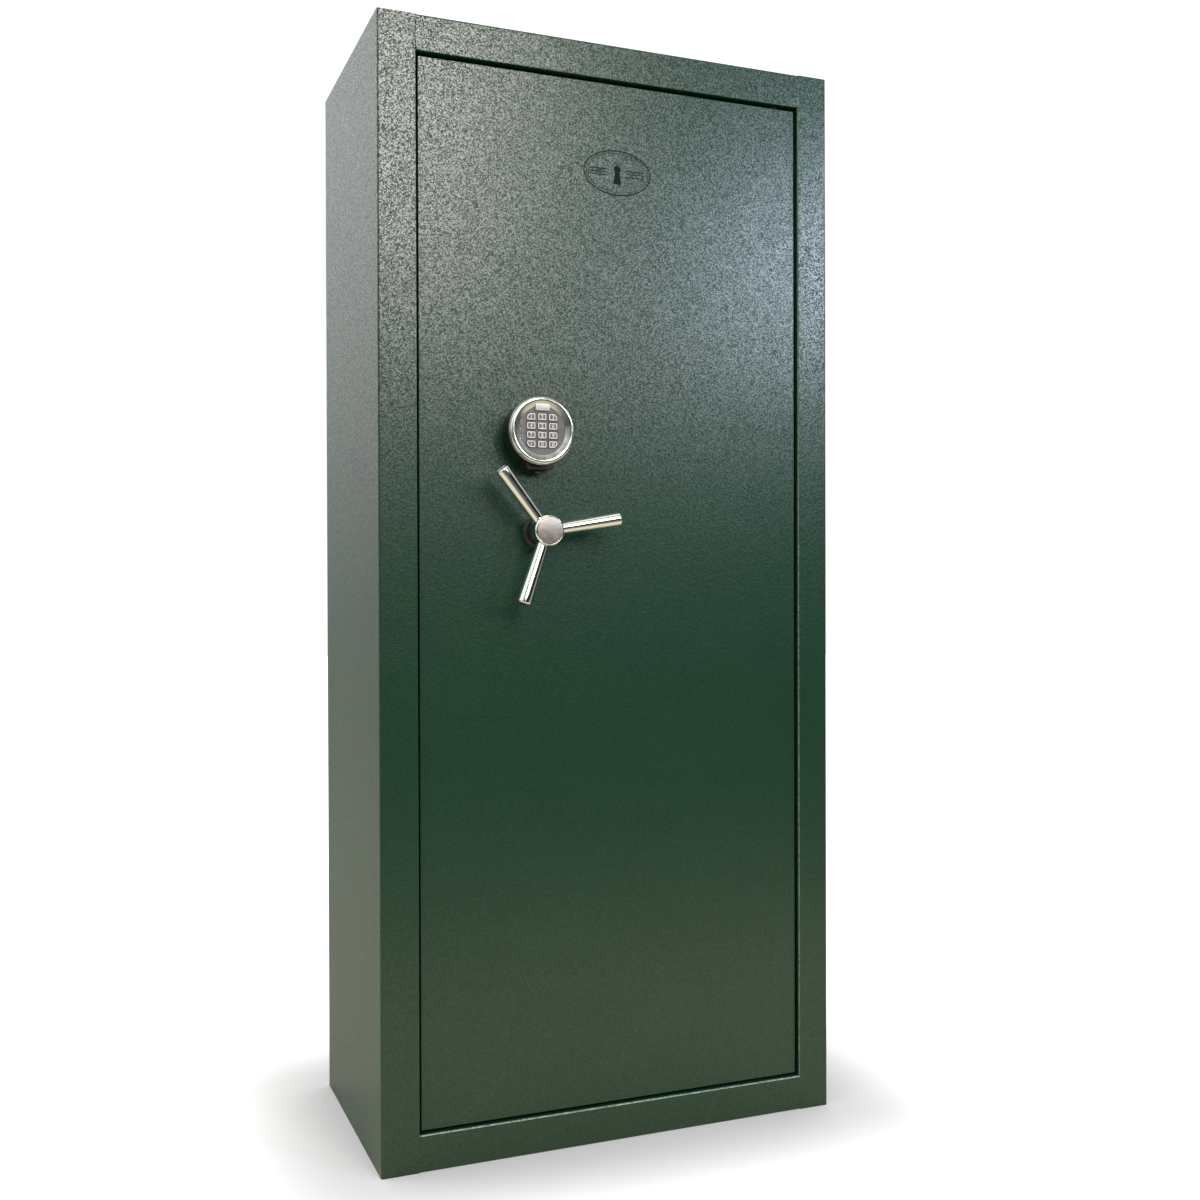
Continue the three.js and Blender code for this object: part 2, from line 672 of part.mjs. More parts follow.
function lockCase() {
  const reach = LOCK_BOLT.half + LOCK_BOLT.side;
  return cut(
    block(
      [LOCK_LEFT, LOCK.front, HANDLE_Z - LOCK.height / 2],
      [LOCK_LEFT + LOCK.width, LOCK.back, HANDLE_Z + LOCK.height / 2],
    ),
    block(
      [LOCK_LEFT - 1, LOCK_BOLT_Y - reach, HANDLE_Z - reach],
      [LOCK_LEFT + 42, LOCK_BOLT_Y + reach, HANDLE_Z + reach],
    ),
  );
}

// The sliding bolt, with a round nose against the cam's flank.
function lockBolt() {
  const { half, length, clear } = LOCK_BOLT;
  const tip = HANDLE_X + CAM.radius + clear;
  const shape = new THREE.Shape();
  shape.moveTo(tip + length, HANDLE_Z + half);
  shape.lineTo(tip + half, HANDLE_Z + half);
  shape.absarc(tip + half, HANDLE_Z, half, Math.PI / 2, 1.5 * Math.PI);
  shape.lineTo(tip + length, HANDLE_Z - half);
  return plate(shape, LOCK_BOLT_Y - half, LOCK_BOLT_Y + half);
}

function hardPlate() {
  const y0 = DOOR.skinBack + WELD_GAP;
  return block([LOCK_LEFT - 6, y0, HANDLE_Z - 50], [LOCK_LEFT + LOCK.width + 8, y0 + 3, HANDLE_Z + 50]);
}

// The lead from the keypad, through the door plate and down into the top of the lock.
function lockCable() {
  const radius = 2;
  const lockX = LOCK_LEFT + 24;
  const lockTop = HANDLE_Z + LOCK.height / 2 + WELD_GAP;
  const path = new THREE.CatmullRomCurve3([
    new THREE.Vector3(KEYPAD_X, DOOR.face + 0.5, KEYPAD_Z),
    new THREE.Vector3(KEYPAD_X, DOOR.skinBack - 1, KEYPAD_Z),
    new THREE.Vector3(KEYPAD_X + 12, DOOR.skinBack + 8, KEYPAD_Z - 1),
    new THREE.Vector3(KEYPAD_X + 55, DOOR.skinBack + 9, KEYPAD_Z - 8),
    new THREE.Vector3(lockX - 4, DOOR.skinBack + 12, KEYPAD_Z - 34),
    new THREE.Vector3(lockX, DOOR.skinBack + 17, lockTop + 14),
    new THREE.Vector3(lockX, DOOR.skinBack + 18, lockTop),
  ]);
  const section = shapeOf(Array.from({ length: 8 }, (_, i) => polar(radius, (i * Math.PI) / 4)));
  return solid(new THREE.ExtrudeGeometry(section, { steps: 28, extrudePath: path }));
}

piece(door, "lock_case", lockCase(), zincPlate);
piece(door, "lock_bolt", lockBolt(), steel);
piece(door, "hard_plate", hardPlate(), steel);
piece(door, "lock_cable", lockCable(), blackPlastic);

// ---- Handle, in a group on its own axis. Depth 0 is the door face, and -Y is towards the user. ----

const handle = new THREE.Group();
handle.position.set(HANDLE_X, DOOR.face, HANDLE_Z);
door.add(handle);

const HUB = { radius: 20.5, front: -50, back: -25, cap: 18 };
const NECK_RADIUS = 17;
const SPOKE = { start: 16, end: 103, depth: -37.5, dish: 8, thin: 7.6, thick: 9.5 };
const SPOKE_ANGLES = { right: 9.5, left: 129.5, lower: 249.5 };

function escutcheon() {
  const neck = [
    [22, 0 - WELD_GAP],
    [22, -3],
    [NECK_RADIUS, -6],
    [NECK_RADIUS, HUB.back + WELD_GAP],
    [SPINDLE_RADIUS + 0.6, HUB.back + WELD_GAP],
    [SPINDLE_RADIUS + 0.6, 0 - WELD_GAP],
  ];
  return turned([...neck, neck[0]].reverse(), 32);
}

function handleHub() {
  const { radius, front, back, cap } = HUB;
  return turned(
    [
      [0, back],
      [radius - 1, back],
      [radius, back - 1],
      [radius, front + 1.5],
      [radius - 1.2, front],
      [cap, front],
      [cap, front + 1.5],
      [0, front + 1.5],
    ].reverse(),
    32,
  );
}

function handleCap() {
  return bar([0, HUB.front + 1.2, 0], [0, HUB.front - 0.4, 0], HUB.cap - WELD_GAP, HUB.cap - WELD_GAP, 32);
}

// A spoke that leans towards the user, thickens outwards and ends in a small edge, drawn along +X.
function spoke() {
  const { start, end, depth, dish, thin, thick } = SPOKE;
  const at = (x) => [x, depth - (dish * (x - start)) / (end - start), 0];
  const edge = 2;
  const clear = HUB.radius + WELD_GAP;
  return cut(
    join(
      bar(at(start), at(end - edge), thin, thick, 20),
      bar(at(end - edge), at(end), thick, thick - edge, 20),
    ),
    bar([0, HUB.front, 0], [0, HUB.back, 0], clear, clear, 64),
  );
}

function spindle() {
  const [camFront, camBack] = [CAM.front - DOOR.face, CAM.back - DOOR.face];
  const along = (y) => [0, y, 0];
  return join(
    bar(along(HUB.back + WELD_GAP), along(camBack + 3), SPINDLE_RADIUS),
    bar(along(camFront - 3 - WELD_GAP), along(camFront - WELD_GAP), 9),
    bar(along(camBack + WELD_GAP), along(camBack + 6), 9.5, 9.5, 6),
  );
}

piece(handle, "handle_escutcheon", escutcheon(), blackPlastic);
piece(handle, "handle_hub", handleHub(), chrome);
piece(handle, "handle_cap", handleCap(), brushedCap);
for (const [side, degrees] of Object.entries(SPOKE_ANGLES)) {
  const arm = piece(handle, `handle_spoke_${side}`, spoke(), chrome);
  arm.rotation.y = -THREE.MathUtils.degToRad(degrees);
}
piece(handle, "handle_spindle", spindle(), steel);
piece(handle, "bolt_cam", boltCam(), zincPlate);

// ---- Keypad, in a group on its own centre. Depth 0 is the door face. ----

const keypad = new THREE.Group();
keypad.position.set(KEYPAD_X, DOOR.face, KEYPAD_Z);
door.add(keypad);

const HOUSING = { radius: 43, front: -30, chinHalf: 19, chinEnd: -50.5, chinFront: -27 };
const BAY = { half: 15.6, front: -24.5, back: -4, bottom: -52, top: 1 };
const BEZEL = { outer: 45.3, inner: 35, front: -40 };
const KEY = { width: 13.2, height: 10.2, across: 15.3, down: 12, back: -32, front: -36.2, corner: 4.2 };
const FACE = { radius: 34.7, back: -30.3, front: -35 };

function keypadHousing() {
  const round = turned(
    [
      [0, HOUSING.front],
      [HOUSING.radius - 1, HOUSING.front],
      [HOUSING.radius, HOUSING.front + 1],
      [HOUSING.radius, -WELD_GAP],
      [0, -WELD_GAP],
    ],
    48,
  );
  const chin = block(
    [-HOUSING.chinHalf, HOUSING.chinFront, HOUSING.chinEnd],
    [HOUSING.chinHalf, -WELD_GAP, -HOUSING.radius / 2],
  );
  const bay = block([-BAY.half, BAY.front, BAY.bottom], [BAY.half, BAY.back, BAY.top]);
  return cut(join(round, chin), bay);
}

function keypadBezel() {
  const { outer, inner, front } = BEZEL;
  const back = HOUSING.front - WELD_GAP;
  const ring = turned(
    [
      [inner, back],
      [inner, front + 3.5],
      [inner + 2, front + 1],
      [inner + 4.5, front],
      [outer - 4, front],
      [outer - 1.5, front + 1.2],
      [outer, front + 4],
      [outer, back],
      [inner, back],
    ],
    48,
  );
  const tab = block([-10, front + 1.5, 25], [10, FACE.front - WELD_GAP, inner + 3]);
  return join(ring, tab);
}

// A key's outline. cornerX and cornerZ say which corner is cut away, and grow widens it for its hole.
function keyShape(cornerX, cornerZ, grow) {
  const [w, h] = [KEY.width / 2 + grow, KEY.height / 2 + grow];
  const corners = [
    [1, 1],
    [-1, 1],
    [-1, -1],
    [1, -1],
  ];
  const points = corners.flatMap(([sx, sz]) => {
    const c = sx === cornerX && sz === cornerZ ? KEY.corner : 1.2;
    const nearSide = [sx * w, sz * (h - c)];
    const nearTop = [sx * (w - c), sz * h];
    return sx * sz > 0 ? [nearSide, nearTop] : [nearTop, nearSide];
  });
  return shapeOf(points);
}

const KEY_NAMES = ["1", "2", "3", "4", "5", "6", "7", "8", "9", "star", "0", "hash"];
const keys = KEY_NAMES.map((name, i) => {
  const [column, row] = [(i % 3) - 1, Math.floor(i / 3)];
  return {
    name: `key_${name}`,
    x: column * KEY.across,
    z: (1.5 - row) * KEY.down,
    cornerX: row === 0 || row === 3 ? column : 0,
    cornerZ: row === 0 ? 1 : -1,
  };
});

function keyPlate(key, grow, y0, y1) {
  return plate(keyShape(key.cornerX, key.cornerZ, grow), y0, y1).translate([key.x, 0, key.z]);
}

function keypadFace() {
  const disc = bar([0, FACE.back, 0], [0, FACE.front, 0], FACE.radius, FACE.radius, 48);
  return cut(disc, ...keys.map((key) => keyPlate(key, 0.4, FACE.front - 1, FACE.back + 1)));
}

const DRAWER = { half: 15.2, front: -24.1, back: -4.4, bottom: -50.2, top: 0.4, wall: 1.2 };

// The battery tray, open towards the top and the front, with a small pull tab under it.
function batteryDrawer() {
  const { half, front, back, bottom, top, wall } = DRAWER;
  return join(
    cut(
      block([-half, front, bottom], [half, back, top]),
      block([-half + wall, front + wall, bottom + wall], [half - wall, back - wall, top + 1]),
    ),
    block([-4, front + 6, bottom - 4.5], [4, front + 9, bottom + 0.5]),
  );
}

function battery() {
  const { half, front, back, bottom, wall } = DRAWER;
  const inset = wall + WELD_GAP;
  const base = bottom + inset;
  const terminals = [-6.4, 6.4].map((x) =>
    bar([x, (front + back) / 2, base + 46], [x, (front + back) / 2, base + 48.5], 3.5, 3.5, 12),
  );
  return join(
    block([-half + inset, front + inset, base], [half - inset, back - inset, base + 46.5]),
    ...terminals,
  );
}

piece(keypad, "keypad_housing", keypadHousing(), blackPlastic);
piece(keypad, "keypad_bezel", keypadBezel(), chrome);
piece(keypad, "keypad_face", keypadFace(), keypadGrey);
for (const key of keys) {
  piece(keypad, key.name, keyPlate(key, 0, KEY.front, KEY.back), keyRubber);
}
piece(keypad, "battery_drawer", batteryDrawer(), blackPlastic);
piece(keypad, "battery", battery(), batteryCase);

export default safe;
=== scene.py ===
"""Gun safe: its finishes, its fine pieces and a studio to look at it in.

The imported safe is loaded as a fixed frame. CAD nodes with the right shape keep it and get a finish;
the handle, the keypad, the bolts and other small pieces are made again here with their real edges.
Lengths are metres. +X is right, +Y goes into the safe and +Z is up; the door faces -Y.
"""

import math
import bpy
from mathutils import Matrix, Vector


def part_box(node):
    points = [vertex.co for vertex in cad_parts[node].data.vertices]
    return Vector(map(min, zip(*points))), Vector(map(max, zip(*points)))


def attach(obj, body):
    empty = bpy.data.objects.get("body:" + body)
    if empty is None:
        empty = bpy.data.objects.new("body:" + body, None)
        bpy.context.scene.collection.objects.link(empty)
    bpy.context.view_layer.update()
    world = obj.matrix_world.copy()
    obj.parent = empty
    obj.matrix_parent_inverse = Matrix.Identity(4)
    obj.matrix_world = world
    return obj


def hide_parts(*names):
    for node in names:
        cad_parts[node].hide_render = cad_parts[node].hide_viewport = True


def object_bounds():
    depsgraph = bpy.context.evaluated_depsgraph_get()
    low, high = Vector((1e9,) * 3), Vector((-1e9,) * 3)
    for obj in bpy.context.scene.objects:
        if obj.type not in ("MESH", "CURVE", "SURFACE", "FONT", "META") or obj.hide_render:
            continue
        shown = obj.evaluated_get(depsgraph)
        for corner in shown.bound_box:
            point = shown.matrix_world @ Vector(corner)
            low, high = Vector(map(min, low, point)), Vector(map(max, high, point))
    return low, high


bl_info = {
    "name": "Gun Safe",
    "version": (1, 0, 0),
    "blender": (4, 5, 0),
    "location": "View3D > Sidebar > Gun Safe",
    "description": "Finishes, keypad, handle, boltwork and studio for an upright gun safe",
    "category": "Object",
}

import bpy
import numpy as np
from mathutils import Matrix

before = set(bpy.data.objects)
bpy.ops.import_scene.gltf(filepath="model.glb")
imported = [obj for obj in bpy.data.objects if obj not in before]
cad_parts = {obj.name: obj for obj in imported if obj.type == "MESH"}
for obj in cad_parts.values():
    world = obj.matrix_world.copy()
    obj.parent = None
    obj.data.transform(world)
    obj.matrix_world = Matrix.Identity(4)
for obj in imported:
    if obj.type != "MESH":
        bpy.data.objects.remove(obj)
CAD_BOX = [list(corner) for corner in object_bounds()]

MM = 0.001
TURN = 2 * math.pi
CORE = 1 * MM  # radius of the flat disc that closes a turned piece at its axis
KEY_LABELS = {"star": "*", "hash": "#"}
KEYS = [n[4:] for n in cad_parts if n.startswith("key_")]

PAINTED = (
    "left_side_panel right_side_panel top_panel bottom_panel back_panel door_stop_frame door_skin"
).split()
CARPETED = (
    "left_liner right_liner back_liner stock_rest top_shelf shelf_cleat barrel_rack"
).split()
ZINC_PLATED = (
    "bolt_channel top_bolt_guide bottom_bolt_guide bolt_bar bolt_cam lock_case"
).split()
BARE_STEEL = (
    "hinge_bracket_top hinge_bracket_bottom dead_bar handle_spindle lock_bolt hard_plate"
).split()


def centre(node):
    """Middle of a CAD node's box."""
    low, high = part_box(node)
    return np.array((low + high) / 2)


# ---- Outlines and profiles: arrays of points, worked out whole ----


def rounded(points, radius, steps=5, closed=True):
    """The polygon with each corner P replaced by the curve (1-t)^2 A + 2t(1-t) P + t^2 B.

    A and B are the points at the radius from P along its two sides. radius is one number or one for each
    corner, and an open line keeps its two ends.
    """
    p = np.asarray(points, float)
    r = np.broadcast_to(np.asarray(radius, float), len(p))[:, None]
    before, after = np.roll(p, 1, 0) - p, np.roll(p, -1, 0) - p
    length = [np.linalg.norm(v, axis=1, keepdims=True) for v in (before, after)]
    a, b = (p + v / n * np.minimum(r, n * 0.49) for v, n in zip((before, after), length))
    t = np.linspace(0, 1, steps + 1)[None, :, None]
    curve = (1 - t) ** 2 * a[:, None] + 2 * t * (1 - t) * p[:, None] + t**2 * b[:, None]
    if closed:
        return curve.reshape(-1, p.shape[1])
    return np.vstack([p[:1], curve[1:-1].reshape(-1, p.shape[1]), p[-1:]])


def rectangle(width, height):
    """Corners of a rectangle about the origin, anticlockwise."""
    return np.array([[-1, -1], [1, -1], [1, 1], [-1, 1]]) * (width / 2, height / 2)


def ellipse(width, height, steps=72):
    """Points (w/2 cos t, h/2 sin t) round an ellipse."""
    t = np.linspace(0, TURN, steps, endpoint=False)
    return np.stack([width / 2 * np.cos(t), height / 2 * np.sin(t)], 1)


def inset(outline, distance):
    """Each point of an anticlockwise outline moved inwards, square to the line between its neighbours."""
    along = np.roll(outline, -1, 0) - np.roll(outline, 1, 0)
    along /= np.linalg.norm(along, axis=1, keepdims=True)
    return outline + distance * np.stack([-along[:, 1], along[:, 0]], 1)


# ---- Shells: (points, faces) pairs ----


def cells(rows, columns, wrap_rows=False, wrap_columns=True):
    """The four corner indices of each cell of a grid of points, in order round the cell."""
    i, j = np.meshgrid(
        np.arange(rows if wrap_rows else rows - 1),
        np.arange(columns if wrap_columns else columns - 1),
        indexing="ij",
    )
    i2, j2 = (i + 1) % rows, (j + 1) % columns
    corners = [i * columns + j, i * columns + j2, i2 * columns + j2, i2 * columns + j]
    return np.stack(corners, -1).reshape(-1, 4)


def outward(points, faces):
    """The shell with its faces turned round if its signed volume is negative."""
    fans = [(f[0], f[k], f[k + 1]) for f in faces for k in range(1, len(f) - 1)]
    a, b, c = (points[list(column)] for column in zip(*fans))
    if np.einsum("ij,ij->i", a, np.cross(b, c)).sum() < 0:
        faces = [f[::-1] for f in faces]
    return points, faces


def tube(grid, ring=False):
    """A closed shell from a grid of points: rows of one closed outline each.

    The first and last rows are capped, or joined to each other for a ring.
    """
    rows, columns = grid.shape[:2]
    faces = cells(rows, columns, wrap_rows=ring).tolist()
    if not ring:
        faces.append(list(range(columns)))
        faces.append(list(range((rows - 1) * columns, rows * columns)))
    return outward(grid.reshape(-1, 3), faces)


def lathe(profile, ring=False, steps=72, sides=None, from_row=0):
    """The profile (r, h) turned round the h axis: (r cos t, r sin t, h).

    With sides, the rows from from_row on follow a polygon, r / cos(offset from the middle of its side).
    """
    profile = np.asarray(profile, float)
    t = np.linspace(0, TURN, steps, endpoint=False)
    r = np.repeat(profile[:, :1], steps, 1)
    if sides:
        half = math.pi / sides
        r[from_row:] *= math.cos(half) / np.cos((t % (2 * half)) - half)
    h = np.repeat(profile[:, 1:], steps, 1)
    return tube(np.stack([r * np.cos(t), r * np.sin(t), h], -1), ring)


def pad(outline, levels):
    """The outline (a, b) at each (inset, h) level: a block whose edges follow the levels."""
    grid = [np.column_stack([inset(outline, d), np.full(len(outline), h)]) for d, h in levels]
    return tube(np.array(grid))


def edged(h0, h1, radius, steps=4, both=True):
    """Levels of a block from h0 to h1 whose upper edges, or both, are quarter circles of the radius."""
    t = np.linspace(0, math.pi / 2, steps + 1)
    top = [(radius * (1 - math.cos(a)), h1 - radius * (1 - math.sin(a))) for a in t]
    if not both:
        return [(0, h0)] + top
    return [(d, h0 + h1 - h) for d, h in reversed(top)] + top


def band(outline, width, h0, h1):
    """A flat ring of the width inside the outline, from h0 up to h1."""
    inner = inset(outline, width)
    rows = [(outline, h0), (outline, h1), (inner, h1), (inner, h0)]
    return tube(np.array([np.column_stack([o, np.full(len(o), h)]) for o, h in rows]), ring=True)


def carried(line, radius, steps=10):
    """A round bead of the radius along a line of points, each ring square to the line there."""
    line = np.asarray(line, float)
    tangent = np.gradient(line, axis=0)
    tangent /= np.linalg.norm(tangent, axis=1, keepdims=True)
    up = np.array([0.0, -1.0, 0.0])
    side = np.cross(tangent, up)
    side /= np.linalg.norm(side, axis=1, keepdims=True)
    over = np.cross(side, tangent)
    t = np.linspace(0, TURN, steps, endpoint=False)[None, :, None]
    r = np.broadcast_to(np.asarray(radius, float), len(line))[:, None, None]
    return tube(line[:, None] + r * (np.cos(t) * side[:, None] + np.sin(t) * over[:, None]))


def moved(shell, origin=(0, 0, 0), a=(1, 0, 0), b=(0, 0, 1), h=(0, -1, 0)):
    """The shell with its three axes laid along a, b and h from the origin. At rest h faces the user."""
    points, faces = shell
    basis = np.array([a, b, h], float)
    return outward(points @ basis + np.asarray(origin, float), faces)


def linked(name, data):
    """A new object in the scene, at the origin."""
    made = bpy.data.objects.new(name, data)
    bpy.context.scene.collection.objects.link(made)
    return made


def worked_out(holder):
    """The mesh that an object's text or modifiers come to."""
    return bpy.data.meshes.new_from_object(holder.evaluated_get(bpy.context.evaluated_depsgraph_get()))


def lettering(text, size, thickness):
    """A character's solid shape, centred on the origin in a and b, from 0 up to its thickness in h."""
    curve = bpy.data.curves.new("lettering", "FONT")
    curve.body = text
    curve.size = size
    curve.extrude = thickness / 2
    curve.resolution_u = 3
    holder = linked("lettering", curve)
    mesh = worked_out(holder)
    points = np.empty((len(mesh.vertices), 3))
    mesh.vertices.foreach_get("co", points.ravel())
    points -= (points.min(0) + points.max(0)) / 2
    points[:, 2] += thickness / 2
    faces = [list(face.vertices) for face in mesh.polygons]
    bpy.data.objects.remove(holder)
    bpy.data.curves.remove(curve)
    bpy.data.meshes.remove(mesh)
    return points, faces


def mesh_of(name, shells):
    """One mesh of several shells, each closed by itself."""
    points, faces, start = [], [], 0
    for p, f in shells:
        points.append(p)
        faces += [[start + i for i in face] for face in f]
        start += len(p)
    mesh = bpy.data.meshes.new(name)
    mesh.from_pydata(np.vstack(points).tolist(), [], faces)
    mesh.validate()
    return mesh


def carved(name, solids, cuts):
    """The solids joined, with the cuts taken out, by exact booleans."""
    shells = enumerate([*solids, *cuts])
    helpers = [linked(f"{name}_tool_{i}", mesh_of(name, [shell])) for i, shell in shells]
    body = helpers[0]
    for i, helper in enumerate(helpers[1:], 1):
        step = body.modifiers.new(f"step_{i}", "BOOLEAN")
        step.operation = "UNION" if i < len(solids) else "DIFFERENCE"
        step.solver = "EXACT"
        step.object = helper
    mesh = worked_out(body)
    for helper in helpers:
        bpy.data.objects.remove(helper)
    return mesh


def piece(name, shape, material, body, replaces=(), smooth=35):
    """Links a piece at the origin, finishes it and ties it to its CAD body."""
    mesh = shape if isinstance(shape, bpy.types.Mesh) else mesh_of(name, shape)
    mesh.name = name
    mesh.polygons.foreach_set("use_smooth", np.ones(len(mesh.polygons), bool))
    mesh.set_sharp_from_angle(angle=math.radians(smooth))
    mesh.materials.clear()
    mesh.materials.append(material)
    made = linked(name, mesh)
    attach(made, body)
    if replaces:
        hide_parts(*replaces)
    return made


# ---- Finishes ----


class Graph:
    """A node tree while it is being made, with short ways to add its nodes and join them."""

    def __init__(self, tree):
        self.nodes, self.links = tree.nodes, tree.links

    def node(self, kind, inputs=None, **settings):
        """A node with its settings, and its inputs linked or set."""
        made = self.nodes.new(kind)
        for name, value in settings.items():
            setattr(made, name, value)
        for socket, value in (inputs or {}).items():
            self.feed(made.inputs[socket], value)
        return made

    def feed(self, socket, value):
        """An input linked to a socket, or set to a value."""
        if isinstance(value, bpy.types.NodeSocket):
            self.links.new(value, socket)
        else:
            socket.default_value = value

    def math(self, operation, *values):
        """Arithmetic on numbers."""
        return self.node("ShaderNodeMath", dict(enumerate(values)), operation=operation).outputs[0]

    def vector(self, operation, *values):
        """Arithmetic on vectors: a number for a length or a dot product, else a vector."""
        made = self.node("ShaderNodeVectorMath", dict(enumerate(values)), operation=operation)
        return made.outputs["Value" if operation in ("LENGTH", "DOT_PRODUCT") else "Vector"]

    def parts(self, vector):
        """The X, Y and Z sockets of a vector."""
        return self.node("ShaderNodeSeparateXYZ", {0: vector}).outputs

    def spread(self, value, low, high, low_to=0.0, high_to=1.0):
        """The value's range low to high, eased onto another range."""
        inputs = {"Value": value, "From Min": low, "From Max": high}
        inputs |= {"To Min": low_to, "To Max": high_to}
        return self.node("ShaderNodeMapRange", inputs, interpolation_type="SMOOTHSTEP").outputs[0]

    def blend(self, amount, first, second):
        """Two colours mixed by the amount."""
        mix = self.node("ShaderNodeMix", data_type="RGBA")
        for index, value in ((0, amount), (6, first), (7, second)):
            self.feed(mix.inputs[index], value)
        return mix.outputs[2]

    def product(self, first, *others):
        """The values multiplied."""
        for other in others:
            first = self.math("MULTIPLY", first, other)
        return first

    def sum(self, *weighted):
        """The (value, weight) pairs multiplied and added up."""
        total = None
        for value, weight in weighted:
            term = self.math("MULTIPLY", value, weight)
            total = term if total is None else self.math("ADD", total, term)
        return total


class Finish(Graph):
    """A material while it is being made: its principled shader and the nodes that feed it."""

    def __init__(self, name, **surface):
        self.material = bpy.data.materials.new(f"{name}_finish")
        self.material.use_nodes = True
        super().__init__(self.material.node_tree)
        self.shader = next(n for n in self.nodes if n.type == "BSDF_PRINCIPLED")
        self.place = self.node("ShaderNodeTexCoord").outputs["Object"]
        self.set(**surface)

    def set(self, **sockets):
        """The shader's inputs linked or set, and the material returned."""
        for socket, value in sockets.items():
            self.feed(self.shader.inputs[socket.replace("_", " ")], value)
        return self.material

    def stretched(self, scale=(1, 1, 1), origin=(0, 0, 0)):
        """The place measured from the origin, and stretched along each axis."""
        shift = [-o * s for o, s in zip(origin, scale)]
        inputs = {"Vector": self.place, "Location": shift, "Scale": scale}
        return self.node("ShaderNodeMapping", inputs).outputs["Vector"]

    def noise(self, size, detail=3, rough=0.55, vector=None, twist=0.0):
        """Smooth noise, 0 to 1, whose features are about the size."""
        inputs = {"Vector": vector or self.place, "Scale": 1 / size, "Detail": detail}
        inputs |= {"Roughness": rough, "Distortion": twist}
        return self.node("ShaderNodeTexNoise", inputs).outputs["Fac"]

    def cellular(self, size, smooth):
        """Distance from the middle of rounded cells of about the size."""
        inputs = {"Vector": self.place, "Scale": 1 / size, "Smoothness": smooth}
        return self.node("ShaderNodeTexVoronoi", inputs, feature="SMOOTH_F1").outputs["Distance"]

    def grains(self, size):
        """For the nearest grain: a number of its own, 0 to 1, and the distance from its middle."""
        inputs = {"Vector": self.place, "Scale": 1 / size}
        cells = self.node("ShaderNodeTexVoronoi", inputs, feature="F1")
        own = self.node("ShaderNodeSeparateColor", {0: cells.outputs["Color"]})
        return own.outputs[0], cells.outputs["Distance"]

    def turned(self, node):
        """The distance from a round CAD node's middle, as a place for noise: (|(x, 0, z)|, 0, 0)."""
        x, _, z = self.parts(self.stretched(origin=centre(node)))
        flat = self.node("ShaderNodeCombineXYZ", {"X": x, "Z": z}).outputs[0]
        return self.node("ShaderNodeCombineXYZ", {"X": self.vector("LENGTH", flat)}).outputs[0]

    def relief(self, height, depth):
        """A bump from a height of 0 to 1 that stands for the depth in metres."""
        bump = self.node("ShaderNodeBump", {"Height": height, "Distance": depth, "Strength": 1.0})
        self.set(Normal=bump.outputs["Normal"])


def linear(color, factor=1.0):
    """A colour property as four numbers, made lighter or darker by the factor."""
    return [min(c * factor, 1.0) for c in color[:3]] + [1.0]


def painted_rim_highlight(f):
    """1 on the front of the sill and of the hinge-side jamb, and 0 elsewhere: a painted highlight that stands
    for the light caught on their rounded edges, most where they face up and to the left.

    The distance from the opening's outline is max(|x - cx| - w/2, |z - cz| - h/2).
    """
    left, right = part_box("left_side_panel")[1].x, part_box("right_side_panel")[0].x
    bottom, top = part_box("bottom_panel")[1].z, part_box("top_panel")[0].z
    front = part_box("bottom_panel")[0].y
    from_middle = f.vector("SUBTRACT", f.place, ((left + right) / 2, front, (bottom + top) / 2))
    half = ((right - left) / 2, 0, (top - bottom) / 2)
    beside, behind, above = f.parts(f.vector("SUBTRACT", f.vector("ABSOLUTE", from_middle), half))
    away = f.math("ABSOLUTE", f.math("MAXIMUM", beside, above))
    normal = f.node("ShaderNodeNewGeometry").outputs["Normal"]
    facing = f.vector("DOT_PRODUCT", normal, (-0.45, 0.0, 0.9))
    return f.product(
        f.spread(away, 1.3 * MM, 2.2 * MM, 1, 0),
        f.spread(behind, 2 * MM, 5 * MM, 1, 0),
        f.spread(facing, 0.15, 0.6),
        f.spread(f.noise(0.005, 3), 0.35, 0.6, 0.4, 1),
    )


def hammered_paint(s):
    """Textured powder coat: small grains, each with its own share of clear binder, more alike low down."""
    f = Finish("green_powder_coat", Specular_IOR_Level=0.2, Coat_IOR=1.85, Coat_Roughness=0.28)
    grain = f.noise(s.paint_grain, 1, 0.5)
    speck, from_middle = f.grains(s.paint_speck)
    broad = f.noise(0.16, 2)
    height = f.parts(f.place)["Z"]
    f.relief(f.sum((grain, 0.7), (from_middle, -0.25)), s.paint_relief)
    tone = f.blend(speck, linear(s.paint_color, 0.92), linear(s.paint_color, 1.1))
    tone = f.blend(f.spread(broad, 0.35, 0.7, 0, 0.25), tone, linear(s.paint_color, 1.3))
    # Painted highlight: a pale green on the rounded front edges of the sill and of the hinge-side jamb, in
    # place of the light that they catch.
    tone = f.blend(painted_rim_highlight(f), tone, linear(s.rim_highlight_color))
    uneven = f.spread(height, 0.65, 1.1, 0.2, 1.0)
    f.set(Coat_Weight=f.blend(uneven, (0.4, 0.4, 0.4, 1), f.spread(speck, 0.2, 1.0, 0.02, 1.0)))
    gloss = f.spread(grain, 0.3, 0.7, s.paint_roughness, s.paint_roughness + 0.06)
    return f.set(Base_Color=tone, Roughness=gloss)


def polished_chrome(s):
    """Bright plate with faint wiping marks in its gloss."""
    f = Finish("bright_chrome", Metallic=1.0)
    haze = f.noise(0.012, 4, 0.6)
    tone = f.blend(f.spread(haze, 0.4, 0.7), linear(s.chrome_color, 0.96), linear(s.chrome_color))
    f.relief(f.noise(0.004, 2), 0.00001)
    return f.set(Base_Color=tone, Roughness=f.spread(haze, 0.35, 0.75, 0.05, 0.13))


